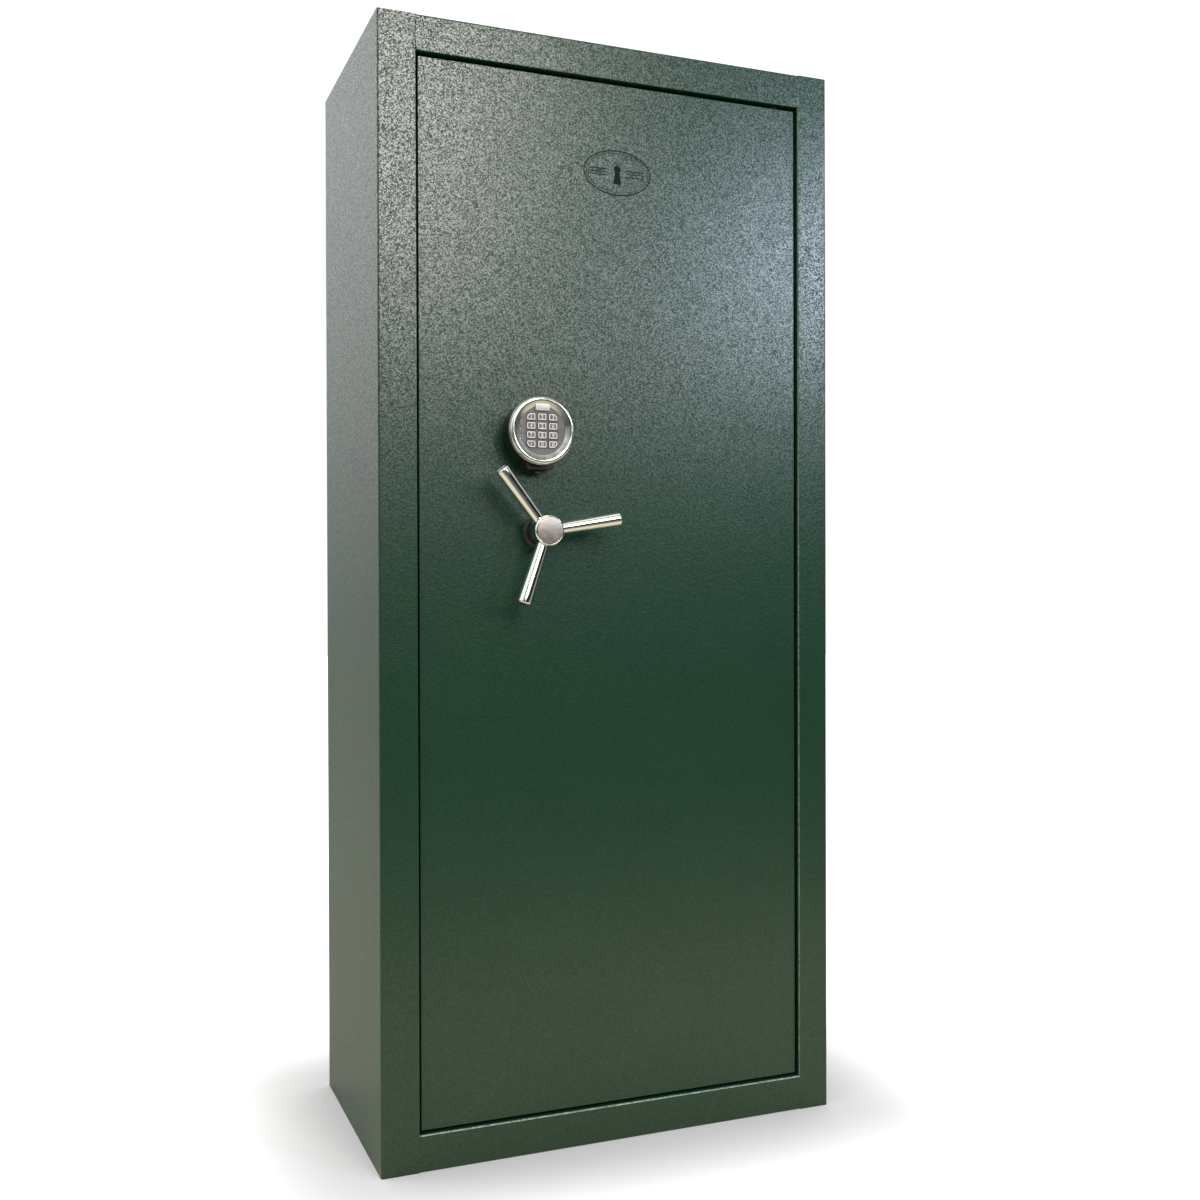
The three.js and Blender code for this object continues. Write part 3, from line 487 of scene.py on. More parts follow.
def satin_chrome(s):
    """Plate with a satin polish that runs round the keypad: noise that changes only with the radius."""
    f = Finish("satin_chrome", Metallic=1.0)
    rings, haze = f.noise(0.0006, 2, 0.7, f.turned("keypad_bezel")), f.noise(0.009, 4, 0.6)
    tone = f.blend(f.spread(haze, 0.35, 0.7), linear(s.chrome_color, 0.78), linear(s.chrome_color, 0.92))
    f.relief(rings, 0.00001)
    return f.set(Base_Color=tone, Roughness=f.spread(haze, 0.35, 0.75, 0.15, 0.26))


def turned_disc(s):
    """Circular brushing about the handle's axis: noise that changes only with the radius."""
    f = Finish("brushed_cap", Metallic=1.0)
    rings = f.noise(0.00035, 2, 0.7, f.turned("handle_hub"))
    patches = f.noise(0.006, 3)
    tone = f.blend(rings, linear(s.cap_color, 0.8), linear(s.cap_color, 1.2))
    tone = f.blend(f.spread(patches, 0.4, 0.7, 0, 0.35), tone, linear(s.cap_color, 0.7))
    f.relief(rings, 0.00004)
    return f.set(Base_Color=tone, Roughness=f.spread(patches, 0.3, 0.7, 0.3, 0.42))


def grained(name, color, roughness, grain=0.0006, depth=0.00006, **surface):
    """Moulded plastic or rubber: a fine even grain with slightly uneven gloss."""
    f = Finish(name, **surface)
    grit, cloud = f.noise(grain, 2, 0.6), f.noise(0.02, 3)
    f.relief(grit, depth)
    tone = f.blend(f.spread(cloud, 0.3, 0.7), linear(color, 0.88), linear(color, 1.15))
    return f.set(Base_Color=tone, Roughness=f.spread(grit, 0.3, 0.7, roughness - 0.06, roughness + 0.08))


def worked_metal(name, color, roughness, drawn=(1, 1, 1), tint=None):
    """Sheet or machined metal: fine streaks along the drawn axis, and a slow change of tone."""
    f = Finish(name, Metallic=1.0)
    streak = f.noise(0.0009, 3, 0.65, f.stretched(drawn))
    cloud = f.noise(0.05, 4, 0.6)
    f.relief(streak, 0.00003)
    tone = f.blend(streak, linear(color, 0.84), linear(color, 1.12))
    tone = f.blend(f.spread(cloud, 0.35, 0.7, 0, 0.3), tone, linear(tint or color, 0.92))
    return f.set(Base_Color=tone, Roughness=f.spread(cloud, 0.3, 0.75, roughness - 0.02, roughness + 0.03))


def short_carpet(s):
    """Short looped pile: small tufts, each darker towards its edge as painted shade where the pile is low,
    with soft tracks where it has been brushed.
    """
    f = Finish("grey_carpet", Sheen_Weight=0.35, Sheen_Roughness=0.5, Specular_IOR_Level=0.15)
    tuft, fibre, track = f.cellular(0.0022, 0.3), f.noise(0.0008, 3, 0.7), f.noise(0.07, 3, twist=0.6)
    f.relief(f.sum((tuft, -0.8), (fibre, 0.6)), 0.0012)
    # Painted shade: each tuft darkens from its raised middle to its low edge, where it meets the next.
    tone = f.blend(f.spread(tuft, 0.1, 0.7), linear(s.carpet_color, 1.35), linear(s.carpet_color, 0.5))
    tone = f.blend(f.spread(fibre, 0.4, 0.65, 0, 0.5), tone, linear(s.carpet_color, 1.7))
    tone = f.blend(f.spread(track, 0.45, 0.6, 0, 0.25), tone, linear(s.carpet_color, 0.75))
    return f.set(Base_Color=tone, Roughness=0.95)


def printed(name, color, roughness=0.5, **surface):
    """Screen-printed ink, a little worn."""
    f = Finish(name, **surface)
    wear = f.noise(0.0006, 3, 0.7)
    tone = f.blend(f.spread(wear, 0.3, 0.6), linear(color, 0.75), linear(color))
    return f.set(Base_Color=tone, Roughness=roughness)


def finish(name):
    """A finish by name, made the first time that it is asked for."""
    if f"{name}_finish" not in bpy.data.materials:
        FINISHES[name](bpy.context.scene.gun_safe_finish)
    return bpy.data.materials[f"{name}_finish"]


FINISHES = {
    "green_powder_coat": hammered_paint,
    "bright_chrome": polished_chrome,
    "satin_chrome": satin_chrome,
    "brushed_cap": turned_disc,
    "grey_carpet": short_carpet,
    "black_plastic": lambda s: grained("black_plastic", s.plastic_color, 0.42),
    "keypad_grey": lambda s: grained("keypad_grey", s.keypad_color, 0.5, Specular_IOR_Level=0.4),
    "key_rubber": lambda s: grained("key_rubber", s.key_color, 0.55, 0.0005, 0.00004),
    "seal_rubber": lambda s: grained("seal_rubber", s.plastic_color, 0.8, 0.0015, 0.0002),
    "battery_case": lambda s: grained("battery_case", (0.02, 0.022, 0.028), 0.3, 0.002, 0.00002),
    "battery_band": lambda s: grained("battery_band", (0.45, 0.16, 0.03), 0.3, 0.002, 0.00002),
    "bare_steel": lambda s: worked_metal("bare_steel", (0.45, 0.45, 0.46), 0.32, (1, 1, 0.04)),
    "zinc_plate": lambda s: worked_metal(
        "zinc_plate", (0.52, 0.53, 0.51), 0.38, (1, 1, 0.05), (0.56, 0.53, 0.42)
    ),
    "sintered_bronze": lambda s: worked_metal("sintered_bronze", (0.03, 0.022, 0.015), 0.55),
    "white_print": lambda s: printed("white_print", s.print_color),
    "silver_label": lambda s: printed("silver_label", s.label_color, 0.35, Metallic=0.4),
    "tonal_print": lambda s: printed("tonal_print", s.mark_color, 0.7, Specular_IOR_Level=0.1),
    "lamp_lens": lambda s: grained("lamp_lens", (0.006, 0.006, 0.006), 0.15, 0.002, 0.00001),
}


def coat(nodes, name):
    """Gives CAD nodes their finish."""
    for node in nodes:
        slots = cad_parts[node].data.materials
        slots.clear()
        slots.append(finish(name))


# ---- Settings ----


def length(name, description, default, low=0.0, high=1.0):
    """A length property, in metres."""
    return bpy.props.FloatProperty(
        name=name,
        description=description,
        default=default,
        min=low,
        max=high,
        precision=5,
        subtype="DISTANCE",
        unit="LENGTH",
    )


def share(name, description, default):
    """A property from 0 to 1."""
    return bpy.props.FloatProperty(
        name=name, description=description, default=default, min=0, max=1, subtype="FACTOR"
    )


def color(name, description, default):
    """A colour property."""
    return bpy.props.FloatVectorProperty(
        name=name, description=description, default=default, size=3, min=0, max=1, subtype="COLOR"
    )


class GunSafeFinish(bpy.types.PropertyGroup):
    """Colours and surface sizes."""

    paint_color: color("Paint", "Colour of the powder coat", (0.0038, 0.037, 0.0162))
    paint_grain: length("Grain", "Width of one grain of the powder coat", 0.004, 0.001, 0.02)
    paint_speck: length("Speck", "Width of one shiny speck of the powder coat", 0.0014, 0.0005, 0.01)
    paint_relief: length("Relief", "Depth of the powder coat's texture", 0.0006, 0, 0.002)
    paint_roughness: share("Paint roughness", "How much the powder coat blurs a reflection", 0.29)
    chrome_color: color("Chrome", "Colour of the plated pieces", (0.8, 0.86, 0.78))
    cap_color: color("Handle cap", "Colour of the turned disc on the handle", (0.44, 0.4, 0.37))
    plastic_color: color("Housing", "Colour of the keypad's housing", (0.012, 0.013, 0.014))
    # Painted highlight: this pale colour stands for the light caught on the front edges of the sill and of the
    # hinge-side jamb.
    rim_highlight_color: color("Rim highlight", "Colour of the paint where the sill is rubbed", (0.42, 0.5, 0.42))
    keypad_color: color("Keypad face", "Colour of the plate round the keys", (0.15, 0.15, 0.14))
    key_color: color("Keys", "Colour of the keys", (0.14, 0.14, 0.132))
    print_color: color("Print", "Colour of the digits and outlines", (0.95, 0.96, 0.93))
    label_color: color("Label", "Colour of the plate over the keys", (0.62, 0.63, 0.58))
    mark_color: color("Mark", "Colour of the oval mark on the door", (0.008, 0.016, 0.011))
    carpet_color: color("Carpet", "Colour of the lining", (0.065, 0.063, 0.06))


class GunSafeDetail(bpy.types.PropertyGroup):
    """Sizes of the fine pieces."""

    mark_width: length("Mark width", "Width of the oval mark", 0.1, 0.02, 0.3)
    mark_height: length("Mark height", "Height of the oval mark", 0.062, 0.02, 0.3)
    mark_place: length("Mark place", "Height of the oval mark above the floor", 1.3286, 0.5, 1.5)
    weld_width: length("Weld width", "Width of a dressed weld on the frame", 0.003, 0, 0.01)
    weld_height: length("Weld height", "How far a weld stands out on the hinge side", 0.0004, 0, 0.002)
    outline: length("Key outline", "Width of the printed line round a key", 0.001, 0, 0.002)
    digit: length("Digit", "Type size of the digits", 0.0072, 0.002, 0.02)
    screw_radius: length("Screw head", "Radius of a cover screw's head", 0.0052, 0.002, 0.01)


class GunSafeStage(bpy.types.PropertyGroup):
    """Camera and lights."""

    lens: bpy.props.FloatProperty(
        name="Lens", description="Focal length on a 36 mm sensor", default=40.14, unit="CAMERA"
    )
    camera_place: bpy.props.FloatVectorProperty(
        name="Camera", description="Camera position", default=(-0.7087, -1.8706, 0.7545), unit="LENGTH"
    )
    camera_turn: bpy.props.FloatVectorProperty(
        name="Heading",
        description="Camera's pitch, roll and heading",
        default=[math.radians(a) for a in (-0.384, -0.165, 21.96)],
        subtype="EULER",
    )
    light_power: bpy.props.FloatProperty(
        name="Lights", description="Factor on the power of every light", default=1, min=0
    )


# ---- Pieces ----


class Maker:
    """Shared by the operators: an undoable action in object mode."""

    bl_options = {"REGISTER", "UNDO"}

    def execute(self, context):
        self.make(context.scene.gun_safe_detail)
        return {"FINISHED"}


class GUNSAFE_OT_coats(Maker, bpy.types.Operator):
    """Give every CAD node its finish"""

    bl_idname = "gun_safe.coats"
    bl_label = "Coat the CAD pieces"

    def make(self, s):
        coat(PAINTED, "green_powder_coat")
        coat(CARPETED, "grey_carpet")
        coat(ZINC_PLATED + ["door_back_cover"], "zinc_plate")
        coat(BARE_STEEL, "bare_steel")
        coat(["hinge_bush_top", "hinge_bush_bottom"], "sintered_bronze")
        coat(["door_seal"], "seal_rubber")
        coat(["keypad_face"], "keypad_grey")
        coat(["battery_drawer", "lock_cable"], "black_plastic")
        coat(["battery"], "battery_case")


class GUNSAFE_OT_welds(Maker, bpy.types.Operator):
    """Lay a low, slightly uneven weld bead where each rail meets a stile"""

    bl_idname = "gun_safe.welds"
    bl_label = "Dressed welds"

    def make(self, s):
        """Each bead is a round bar sunk in the joint, its radius w/2 (1 + 0.06 sin 2400z + 0.05 sin 971z)."""
        beads = []
        for top, node in ((1, "top_panel"), (0, "bottom_panel")):
            low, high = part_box(node)
            inner, outer = (low.z + 0.001, high.z - 0.0023) if top else (high.z - 0.001, low.z + 0.0023)
            z = np.linspace(inner, outer, 60)
            radius = s.weld_width / 2 * (1 + 0.06 * np.sin(z * 2400) + 0.05 * np.sin(z * 971))
            for side, edge in ((1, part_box("left_side_panel")[1].x), (-1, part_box("right_side_panel")[0].x)):
                proud = s.weld_height if side < 0 else s.weld_height / 4
                x = edge + side * 0.00015 + 0.0002 * np.sin(z * 310)
                line = np.stack([x, np.full(60, low.y + s.weld_width / 2 - proud), z], 1)
                beads.append(carried(line, radius))
        piece("weld_beads", beads, finish("green_powder_coat"), "cabinet")


class GUNSAFE_OT_mark(Maker, bpy.types.Operator):
    """Print a plain oval with a keyhole and six bars high on the door"""

    bl_idname = "gun_safe.mark"
    bl_label = "Oval mark"

    def make(self, s):
        """Two elliptical bands, three bars on each side, and a keyhole: a circle over a trapezium."""
        width, height = s.mark_width, s.mark_height
        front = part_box("door_skin")[0].y
        ink = (0.02 * MM, 0.22 * MM)
        thin = [(0, h) for h in ink]
        hole = np.vstack(
            [
                [(0.0052 * math.cos(a), 0.0052 * math.sin(a) + 0.005) for a in np.linspace(-0.9, 4.04, 30)],
                [(-0.006, -0.0155), (0.006, -0.0155)],
            ]
        )
        shells = [
            band(ellipse(width, height), 0.0016, *ink),
            band(ellipse(width - 0.008, height - 0.008), 0.0006, *ink),
            pad(hole, thin),
        ]
        bars = [
            pad(rectangle(0.026, 0.0012) + (side * 0.0265, row * 0.0042), thin)
            for side in (-1, 1)
            for row in (-1, 0, 1)
        ]
        at = (0.004, front, s.mark_place)
        marks = [moved(shell, at) for shell in shells + bars]
        piece("door_mark", marks, finish("tonal_print"), "door")


class GUNSAFE_OT_handle(Maker, bpy.types.Operator):
    """Make the hub, its brushed cap, the three spokes and the collar"""

    bl_idname = "gun_safe.handle"
    bl_label = "Handle"

    def make(self, s):
        """All turned shapes: a profile (radius, height) about each piece's own axis."""
        chrome = finish("bright_chrome")
        low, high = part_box("handle_hub")
        axis = centre("handle_hub")
        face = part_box("door_skin")[0].y
        at = (axis[0], face, axis[2])
        radius, rear, front = (high.x - low.x) / 2, face - high.y, face - low.y
        hub = rounded(
            [
                (CORE, rear),
                (radius - 1.5 * MM, rear),
                (radius, rear + 1.5 * MM),
                (radius, front - 2 * MM),
                (radius - 1.8 * MM, front),
                (radius - 2.6 * MM, front - 0.1 * MM),
                (radius - 2.8 * MM, front - 1.4 * MM),
                (CORE, front - 1.4 * MM),
            ],
            0.7 * MM,
            closed=False,
        )
        piece("hub", [moved(lathe(hub, steps=96), at)], chrome, "handle", ["handle_hub"])

        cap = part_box("handle_cap")
        cap_radius = (cap[1].x - cap[0].x) / 2
        levels = edged(face - cap[1].y, face - cap[0].y, 0.35 * MM)
        disc = pad(ellipse(2 * cap_radius, 2 * cap_radius, 96), levels)
        piece("hub_cap", [moved(disc, at)], finish("brushed_cap"), "handle", ["handle_cap"])

        self.spokes(at, face, chrome)
        collar = rounded(
            [
                (7 * MM, 0.3 * MM),
                (22 * MM, 0.3 * MM),
                (22 * MM, 2.6 * MM),
                (18 * MM, 5.6 * MM),
                (17 * MM, 9 * MM),
                (17 * MM, rear - 0.4 * MM),
                (7 * MM, rear - 0.4 * MM),
            ],
            1 * MM,
        )
        shell, black = moved(lathe(collar, ring=True), at), finish("black_plastic")
        piece("handle_collar", [shell], black, "door", ["handle_escutcheon"])

    def spokes(self, at, face, chrome):
        """Each spoke leans out towards the user and swells from thin to thick, with a quarter-round end."""
        start, end, low, rise = 16 * MM, 103 * MM, 37.5 * MM, 8 * MM
        thin, thick, nose = 7.6 * MM, 9.5 * MM, 3 * MM
        length_out = math.hypot(end - start, rise)
        straight = length_out - nose
        t = np.linspace(0, math.pi / 2, 9)[1:]
        shaft = [(thin + (thick - thin) * u, u * straight) for u in np.linspace(0, 1, 12)]
        dome = [(thick - nose * (1 - math.cos(a)), straight + nose * math.sin(a)) for a in t]
        rod = lathe(shaft + dome + [(CORE, length_out)], steps=64)
        for side, degrees in (("right", 9.5), ("left", 129.5), ("lower", 249.5)):
            turn = math.radians(degrees)
            out = np.array([math.cos(turn), 0, math.sin(turn)])
            towards = np.array([0, -1.0, 0])
            lean = (out * (end - start) + towards * rise) / length_out
            across = np.cross(towards, out)
            origin = np.array(at) + out * start + towards * low
            shell = moved(rod, origin, across, np.cross(lean, across), lean)
            node = f"handle_spoke_{side}"
            piece(f"spoke_{side}", [shell], chrome, "handle", [node])


class GUNSAFE_OT_keypad(Maker, bpy.types.Operator):
    """Make the keypad's housing, bright ring, plain plate and lamps"""

    bl_idname = "gun_safe.keypad"
    bl_label = "Keypad body"

    def make(self, s):
        low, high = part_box("keypad_bezel")
        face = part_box("door_skin")[0].y
        at = ((low.x + high.x) / 2, face, (low.z + high.z) / 2)
        self.housing(at)
        self.bezel(at, (high.x - low.x) / 2, face - high.y, face - low.y)
        self.trim(at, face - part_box("keypad_face")[0].y)

    def housing(self, at):
        """A turned drum joined to a rounded chin, with the battery's bay cut up through the chin."""
        drum = rounded(
            [(CORE, 0.3 * MM), (43 * MM, 0.3 * MM), (43 * MM, 30 * MM), (CORE, 30 * MM)],
            [0, 0.8 * MM, 1.6 * MM, 0],
            closed=False,
        )
        chin = rounded(rectangle(38 * MM, 40 * MM) + (0, -30.5 * MM), 5 * MM)
        bay = rectangle(31.2 * MM, 53 * MM) + (0, -25.5 * MM)
        mesh = carved(
            "housing",
            [
                moved(lathe(drum, steps=96), at),
                moved(pad(chin, edged(0.3 * MM, 27 * MM, 1.6 * MM, both=False)), at),
            ],
            [moved(pad(bay, [(0, 4 * MM), (0, 24.5 * MM)]), at)],
        )
        black = finish("black_plastic")
        piece("keypad_shell", mesh, black, "door", ["keypad_housing"], 30)

    def bezel(self, at, outer, rear, front):
        """The ring's section: an outer lip, a groove, a crowned top and a slope that ends over the face."""
        inner, lip = 35 * MM, 32.3 * MM
        section = rounded(
            [
                (inner, rear),
                (outer, rear),
                (outer, front - 5.4 * MM),
                (outer - 0.9 * MM, front - 5.0 * MM),
                (outer - 0.9 * MM, front - 4.4 * MM),
                (outer - 0.2 * MM, front - 4.0 * MM),
                (outer - 0.4 * MM, front - 2.4 * MM),
                (outer - 2.6 * MM, front),
                (inner + 4.6 * MM, front),
                (lip, front - 3.7 * MM),
                (lip, front - 4.9 * MM),
                (inner, front - 4.9 * MM),
            ],
            np.array([0.3, 0.5, 0.4, 0.2, 0.2, 0.5, 1.4, 1.6, 1.2, 0.5, 0.1, 0.1]) * MM,
        )
        shell = moved(lathe(section, ring=True, steps=128), at)
        piece("keypad_ring", [shell], finish("satin_chrome"), "door", ["keypad_bezel"])
        plate = rounded(rectangle(19.6 * MM, 9 * MM) + (0, 30.6 * MM), 1.4 * MM)
        shell = moved(pad(plate, edged(front - 4.6 * MM, front - 1.6 * MM, 0.5 * MM, both=False)), at)
        piece("keypad_badge", [shell], finish("silver_label"), "door")

    def trim(self, at, face):
        """Three lamps in a column on the left, each a low dome in a thin printed ring."""
        base = face + 0.02 * MM
        spots = [np.array(at) + (-28.4 * MM, 0, rise * MM) for rise in (10.5, 0.5, -9.5)]
        lens = lathe([(1.5 * MM, base), (1.4 * MM, face + 0.25 * MM), (0.7 * MM, face + 0.5 * MM)])
        ring = band(ellipse(3.6 * MM, 3.6 * MM, 40), 0.3 * MM, base, face + 0.1 * MM)
        for name, shell, material, slot in (
            ("keypad_lamps", lens, "lamp_lens", "black_plastic"),
            ("lamp_rings", ring, "white_print", "keypad_grey"),
        ):
            piece(name, [moved(shell, spot) for spot in spots], finish(material), "door")


class GUNSAFE_OT_keys(Maker, bpy.types.Operator):
    """Make the twelve keys with their printed outlines and digits"""

    bl_idname = "gun_safe.keys"
    bl_label = "Keys"

    def make(self, s):
        ring = centre("keypad_bezel")
        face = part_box("door_skin")[0].y
        for name in KEYS:
            low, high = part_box(f"key_{name}")
            at = np.array([(low.x + high.x) / 2, face, (low.z + high.z) / 2])
            across, up = at[0] - ring[0], at[2] - ring[2]
            self.key(name, at, (high.x - low.x, high.z - low.z), (face - high.y, face - low.y), across, up, s)

    def key(self, name, at, size, span, across, up, s):
        """A rectangle with rounded corners and an eased top edge. A corner key's outer corner is cut away."""
        corners = rectangle(*size)
        if abs(across) > size[0] / 2 and abs(up) > size[1]:
            outer = np.argmax(corners @ (math.copysign(1, across), math.copysign(1, up)))
            beside = corners[[outer - 1, (outer + 1) % 4]]
            cut = corners[outer] + 4.2 * MM * np.sign(beside - corners[outer])
            corners = np.insert(np.delete(corners, outer, 0), outer, cut, 0)
        outline = rounded(corners, 1.6 * MM, 6)
        rear, front = span
        ink = front + 0.01 * MM
        cap = pad(outline, edged(rear, front, 0.7 * MM, both=False))
        body = f"key_{name}"
        piece(f"keycap_{name}", [moved(cap, at)], finish("key_rubber"), body, [body])
        line = band(inset(outline, 1.1 * MM), s.outline, ink, front + 0.07 * MM)
        digit = lettering(KEY_LABELS.get(name, name), s.digit, 0.07 * MM)
        digit[0][:, 2] += ink
        shells = [moved(line, at), placed(digit, at)]
        piece(f"print_{name}", shells, finish("white_print"), body)


def placed(shell, origin):
    """A character's shape set upright on the door: a to +X, b to +Z and h towards the user."""
    points, faces = shell
    return points @ np.array([[1, 0, 0], [0, 0, 1], [0, -1, 0]], float) + origin, faces


class GUNSAFE_OT_bolts(Maker, bpy.types.Operator):
    """Make the round side bolts, the top and bottom bolts and their links"""

    bl_idname = "gun_safe.bolts"
    bl_label = "Bolts"

    def make(self, s):
        """Turned bars with a chamfered end; each end bolt also has a flat link with rounded edges."""
        for number in range(1, 5):
            node = f"locking_bolt_{number}"
            low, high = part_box(node)
            radius, reach = (high.z - low.z) / 2, high.x - low.x
            at = (high.x, (low.y + high.y) / 2, (low.z + high.z) / 2)
            shell = moved(self.bolt(radius, reach), at, (0, 0, 1), (0, 1, 0), (-1, 0, 0))
            chrome = finish("bright_chrome")
            piece(f"side_bolt_{number}", [shell], chrome, "side_bolts", [node])
        for up, node, body in ((1, "top_bolt_rod", "top_bolt"), (-1, "bottom_bolt_rod", "bottom_bolt")):
            self.end_bolt(up, node, body)

    def bolt(self, radius, reach):
        """Radius r to 1.6 mm short of the end, then a 45 degree chamfer with eased edges."""
        ease = 1.6 * MM
        profile = rounded(
            [(radius, 0), (radius, reach - ease), (radius - ease, reach), (CORE, reach)],
            0.5 * MM,
            closed=False,
        )
        return lathe(profile, steps=64)

    def end_bolt(self, up, node, body):
        """A round bolt on the foot of a flat link, and the pin at the link's other end, in the cam's slot."""
        low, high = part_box(node)
        x = (low.x + high.x) / 2
        radius, reach = (high.x - low.x) / 2, 65 * MM
        tip, stem = (high.z, low.z) if up > 0 else (low.z, high.z)
        at = (x, high.y - radius, tip - up * reach)
        bolt = moved(self.bolt(radius, reach), at, (1, 0, 0), (0, 1, 0), (0, 0, up))
        front, back = low.y + 8 * MM, high.y - 1 * MM
        outline = rounded(
            [
                (front, stem),
                (front + 5 * MM, stem),
                (front + 5 * MM, tip - up * 66 * MM),
                (back, tip - up * 66 * MM),
                (back, tip - up * 62 * MM),
                (front, tip - up * 62 * MM),
            ],
            0.8 * MM,
        )
        half = radius - 0.5 * MM
        link = moved(pad(outline, [(0, -half), (0, half)]), (x, 0, 0), (0, 1, 0), (0, 0, 1), (1, 0, 0))
        pin = lathe([(4 * MM, 0), (4 * MM, 9 * MM)], steps=32)
        pin = moved(pin, (x, front + 1 * MM, stem + up * 8 * MM))
        piece(f"{body}_piece", [bolt, link, pin], finish("zinc_plate"), body, [node])


class GUNSAFE_OT_screws(Maker, bpy.types.Operator):
    """Fix the back cover with socket screws, and plug the anchor holes"""

    bl_idname = "gun_safe.screws"
    bl_label = "Screws and plugs"

    def make(self, s):
        """A screw is a domed head (r, h) with a six-sided socket sunk in it, and a plug a dished disc."""
        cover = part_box("door_back_cover")
        r = s.screw_radius
        head = [
            (r, 0.05 * MM),
            (r, 0.8 * MM),
            (r * 0.86, 1.9 * MM),
            (r * 0.56, 2.5 * MM),
            (r * 0.5, 2.5 * MM),
            (r * 0.47, 0.7 * MM),
        ]
        screw = lathe(head, steps=48, sides=6, from_row=3)
        spots = [
            (x, z)
            for x in (cover[0].x + 0.018, (cover[0].x + cover[1].x) / 2, cover[1].x - 0.018)
            for z in np.linspace(cover[0].z + 0.03, cover[1].z - 0.03, 5)
        ]
        shells = [moved(screw, (x, cover[1].y, z), (1, 0, 0), (0, 0, -1), (0, 1, 0)) for x, z in spots]
        piece("cover_screws", shells, finish("bare_steel"), "door")
        head = [(6.2 * MM, 0.2 * MM), (6.2 * MM, 2 * MM), (4 * MM, 2 * MM), (3.6 * MM, 1 * MM)]
        plug = lathe(head, steps=40)
        plugs = [
            moved(plug, (x, y, 0.0021), (1, 0, 0), (0, -1, 0), (0, 0, -1))
            for x in (-0.24, 0.24)
            for y in (-0.11, 0.11)
        ]
        piece("anchor_plugs", plugs, finish("black_plastic"), "cabinet")


# ---- Stage ----

# Name, place, target, size, power in watts and colour of each light.
LIGHTS = (
    ("front_left", (0.1, -3.3, 2.6), (0.0, -0.18, 1.2), (1.7, 1.5), 76, (1.0, 0.95, 0.91)),
    ("front_right", (2.2, -3.2, 2.1), (0.0, -0.18, 1.2), (0.7, 0.6), 31, (0.68, 0.8, 1.0)),
    ("low_wall", (1.1, -3.4, 1.7), (0.0, -0.18, 1.2), (2.8, 0.35), 10, (1.0, 0.92, 0.88)),
    ("side_light", (-2.6, 0.9, 2.8), (-0.33, 0.0, 1.1), (1.2, 1.6), 16, (1.0, 1.0, 0.97)),
)
# The way that is kept dark, its fade and the sky's (from, to and the values there), and the light that is
# left in the dark. Then the floor's radius, and the sensor's width in millimetres.
DARK_WAY = (0.4, -0.915, 0.05)
DARK_FADE = (0.25, 0.8, 1.0, 0.0)
SKY_FADE = (-0.1, 0.4, 0.35, 1.15)
FRONT_GLOW = 0.02
FLOOR_RADIUS = 14.0
SENSOR = 36


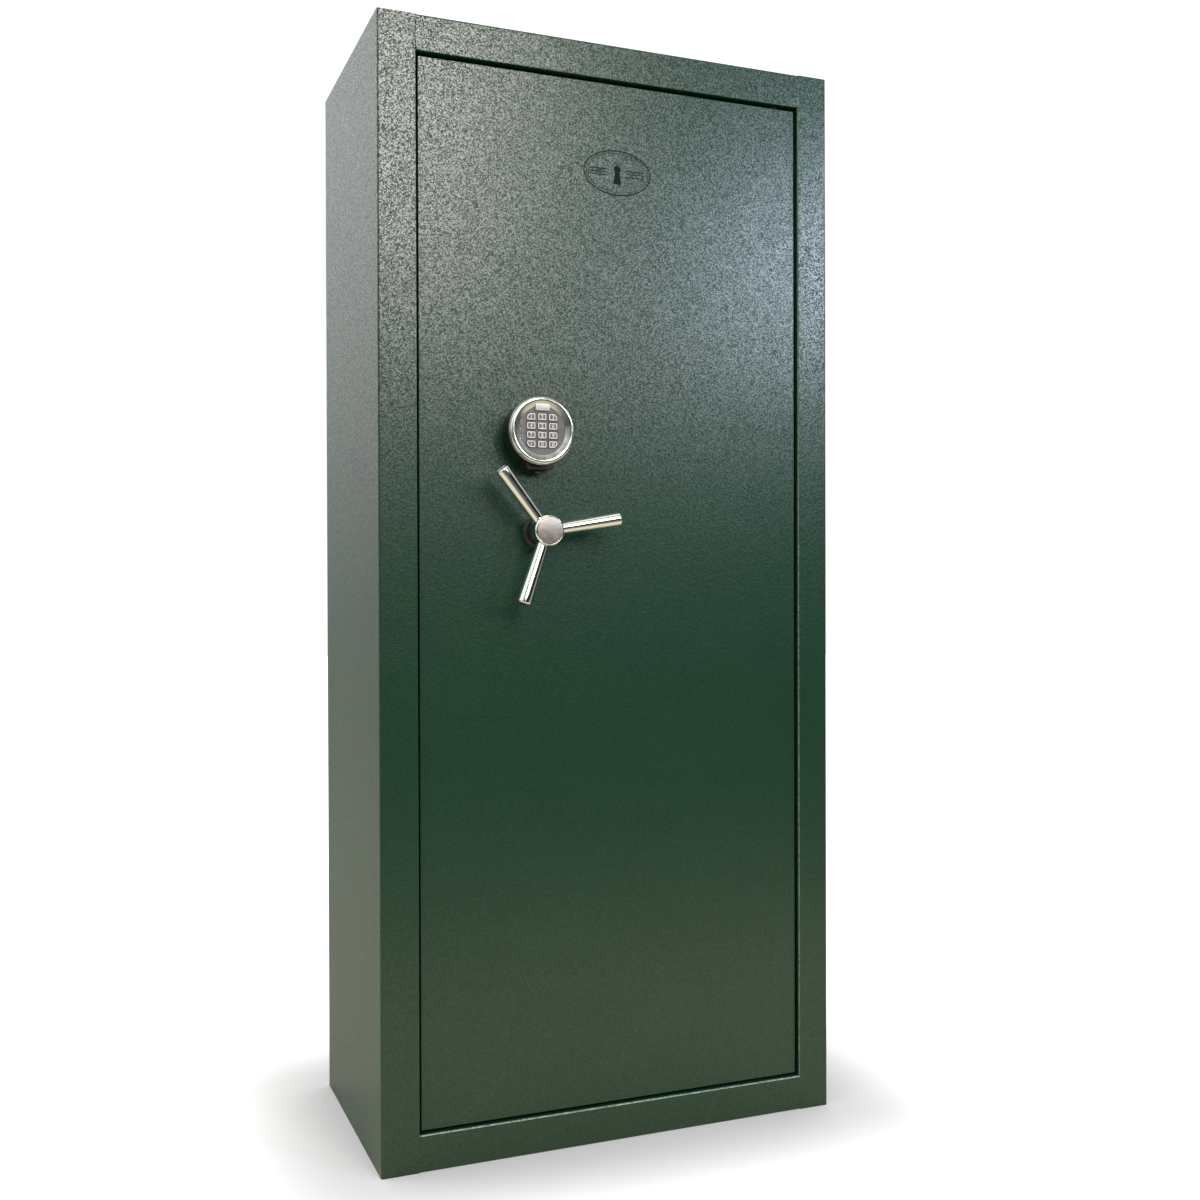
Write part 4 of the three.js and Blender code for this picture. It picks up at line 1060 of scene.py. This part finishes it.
class GUNSAFE_OT_stage(bpy.types.Operator):
    """Set up the pale floor, the soft lights and the camera"""

    bl_idname = "gun_safe.stage"
    bl_label = "Stage"

    def execute(self, context):
        s = context.scene.gun_safe_stage
        context.scene.view_settings.view_transform = "Standard"
        self.floor()
        self.surroundings(context.scene)
        for name, place, target, size, power, tint in LIGHTS:
            self.softbox(name, place, target, size, power * s.light_power, tint)
        self.camera(context.scene, s)
        return {"FINISHED"}

    def floor(self):
        """A wide pale disc. It glows to the camera away from the safe, so that the shadow is soft and short.

        The glow rises with the distance |max(|p| - half the safe's size, 0)| from the safe's footprint.
        """
        shell = lathe([(FLOOR_RADIUS, -0.02), (FLOOR_RADIUS, 0.0)], steps=96)
        made = linked("floor", mesh_of("floor", [shell]))
        f = Finish("pale_floor", Specular_IOR_Level=0.1, Emission_Color=(1, 1, 1, 1))
        half = (CAD_BOX[1][0], CAD_BOX[1][1], 1.0)
        beyond = f.vector("SUBTRACT", f.vector("ABSOLUTE", f.place), half)
        away = f.vector("LENGTH", f.vector("MAXIMUM", beyond, (0, 0, 0)))
        seen = f.node("ShaderNodeLightPath").outputs["Is Camera Ray"]
        glow = f.spread(away, 0.0, 0.38, 0.06, 1.0)
        depth = f.parts(f.place)["Y"]
        boards = f.blend(f.noise(0.3), (0.72, 0.6, 0.47, 1), (0.78, 0.65, 0.51, 1))
        boards = f.blend(f.spread(depth, -0.2, -0.1), boards, (0.42, 0.42, 0.35, 1))
        lit = f.blend(f.spread(depth, -2.0, -0.8), (0.1, 0.1, 0.1, 1), boards)
        tone = f.blend(seen, lit, (0.66, 0.66, 0.66, 1))
        f.set(Base_Color=tone, Roughness=0.7, Emission_Strength=f.sum((seen, glow)))
        made.data.materials.append(f.material)

    def surroundings(self, scene):
        """White to the camera. As light, dark where the door reflects it and brighter round that and above.

        For a direction d the strength is glow + fade(d.z) fade(d . DARK_WAY), each fade a smooth step.
        """
        world = bpy.data.worlds.new("studio")
        scene.world = world
        world.use_nodes = True
        g = Graph(world.node_tree)
        direction = g.node("ShaderNodeTexCoord").outputs["Generated"]
        facing = g.vector("DOT_PRODUCT", direction, DARK_WAY)
        up = g.spread(g.parts(direction)["Z"], *SKY_FADE)
        light = g.math("MULTIPLY_ADD", up, g.spread(facing, *DARK_FADE), FRONT_GLOW)
        seen = g.node("ShaderNodeLightPath").outputs["Is Camera Ray"]
        background = next(n for n in g.nodes if n.type == "BACKGROUND")
        g.feed(background.inputs["Strength"], g.math("MAXIMUM", light, seen))
        g.feed(background.inputs["Color"], (1, 1, 1, 1))

    def softbox(self, name, place, target, size, power, tint):
        """A rectangular light at the place, turned to face the target."""
        light = bpy.data.lights.new(name, "AREA")
        light.color = tint
        light.shape = "RECTANGLE"
        light.size, light.size_y = size
        light.energy = power
        linked(name, light).matrix_world = aimed(place, np.subtract(target, place), (0, 0, 1))

    def camera(self, scene, s):
        """Looks along (sin h cos p, cos h cos p, sin p), for heading h and pitch p, then rolls."""
        pitch, roll, heading = s.camera_turn
        level = np.array([math.sin(heading), math.cos(heading), 0.0])
        forward = level * math.cos(pitch) + (0, 0, math.sin(pitch))
        right = np.array([math.cos(heading), -math.sin(heading), 0.0])
        up = np.cross(right, forward) * math.cos(roll) - right * math.sin(roll)
        data = bpy.data.cameras.new("camera")
        data.lens = s.lens
        data.sensor_width = SENSOR
        made = linked("camera", data)
        made.matrix_world = aimed(s.camera_place, forward, up)
        scene.camera = made


def aimed(place, forward, up):
    """A matrix that looks along forward, with up as near upwards as it can be."""
    z = -np.array(forward, float) / np.linalg.norm(forward)
    x = np.cross(up, z)
    x /= np.linalg.norm(x)
    matrix = np.eye(4)
    matrix[:3, 0], matrix[:3, 1], matrix[:3, 2], matrix[:3, 3] = x, np.cross(z, x), z, place
    return Matrix(matrix.tolist())


# ---- Panel and registration ----

STEPS = (
    GUNSAFE_OT_coats,
    GUNSAFE_OT_welds,
    GUNSAFE_OT_mark,
    GUNSAFE_OT_handle,
    GUNSAFE_OT_keypad,
    GUNSAFE_OT_keys,
    GUNSAFE_OT_bolts,
    GUNSAFE_OT_screws,
    GUNSAFE_OT_stage,
)


class GUNSAFE_PT_panel(bpy.types.Panel):
    """Settings and steps, in the order in which they run"""

    bl_idname = "GUNSAFE_PT_panel"
    bl_label = "Gun Safe"
    bl_space_type = "VIEW_3D"
    bl_region_type = "UI"
    bl_category = "Gun Safe"

    def draw(self, context):
        for group in GROUPS:
            settings = getattr(context.scene, group)
            column = self.layout.column(align=True)
            for name in settings.bl_rna.properties.keys():
                if name not in ("rna_type", "name"):
                    column.prop(settings, name)
        for step in STEPS:
            self.layout.operator(step.bl_idname)


GROUPS = {
    "gun_safe_finish": GunSafeFinish,
    "gun_safe_detail": GunSafeDetail,
    "gun_safe_stage": GunSafeStage,
}


def register():
    for cls in (*GROUPS.values(), *STEPS, GUNSAFE_PT_panel):
        bpy.utils.register_class(cls)
    for name, group in GROUPS.items():
        setattr(bpy.types.Scene, name, bpy.props.PointerProperty(type=group))


def unregister():
    for name in GROUPS:
        delattr(bpy.types.Scene, name)
    for cls in reversed((*GROUPS.values(), *STEPS, GUNSAFE_PT_panel)):
        bpy.utils.unregister_class(cls)


def main():
    """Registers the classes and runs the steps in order."""
    register()
    for step in STEPS:
        group, name = step.bl_idname.split(".")
        getattr(getattr(bpy.ops, group), name)()


if __name__ == "__main__":
    main()
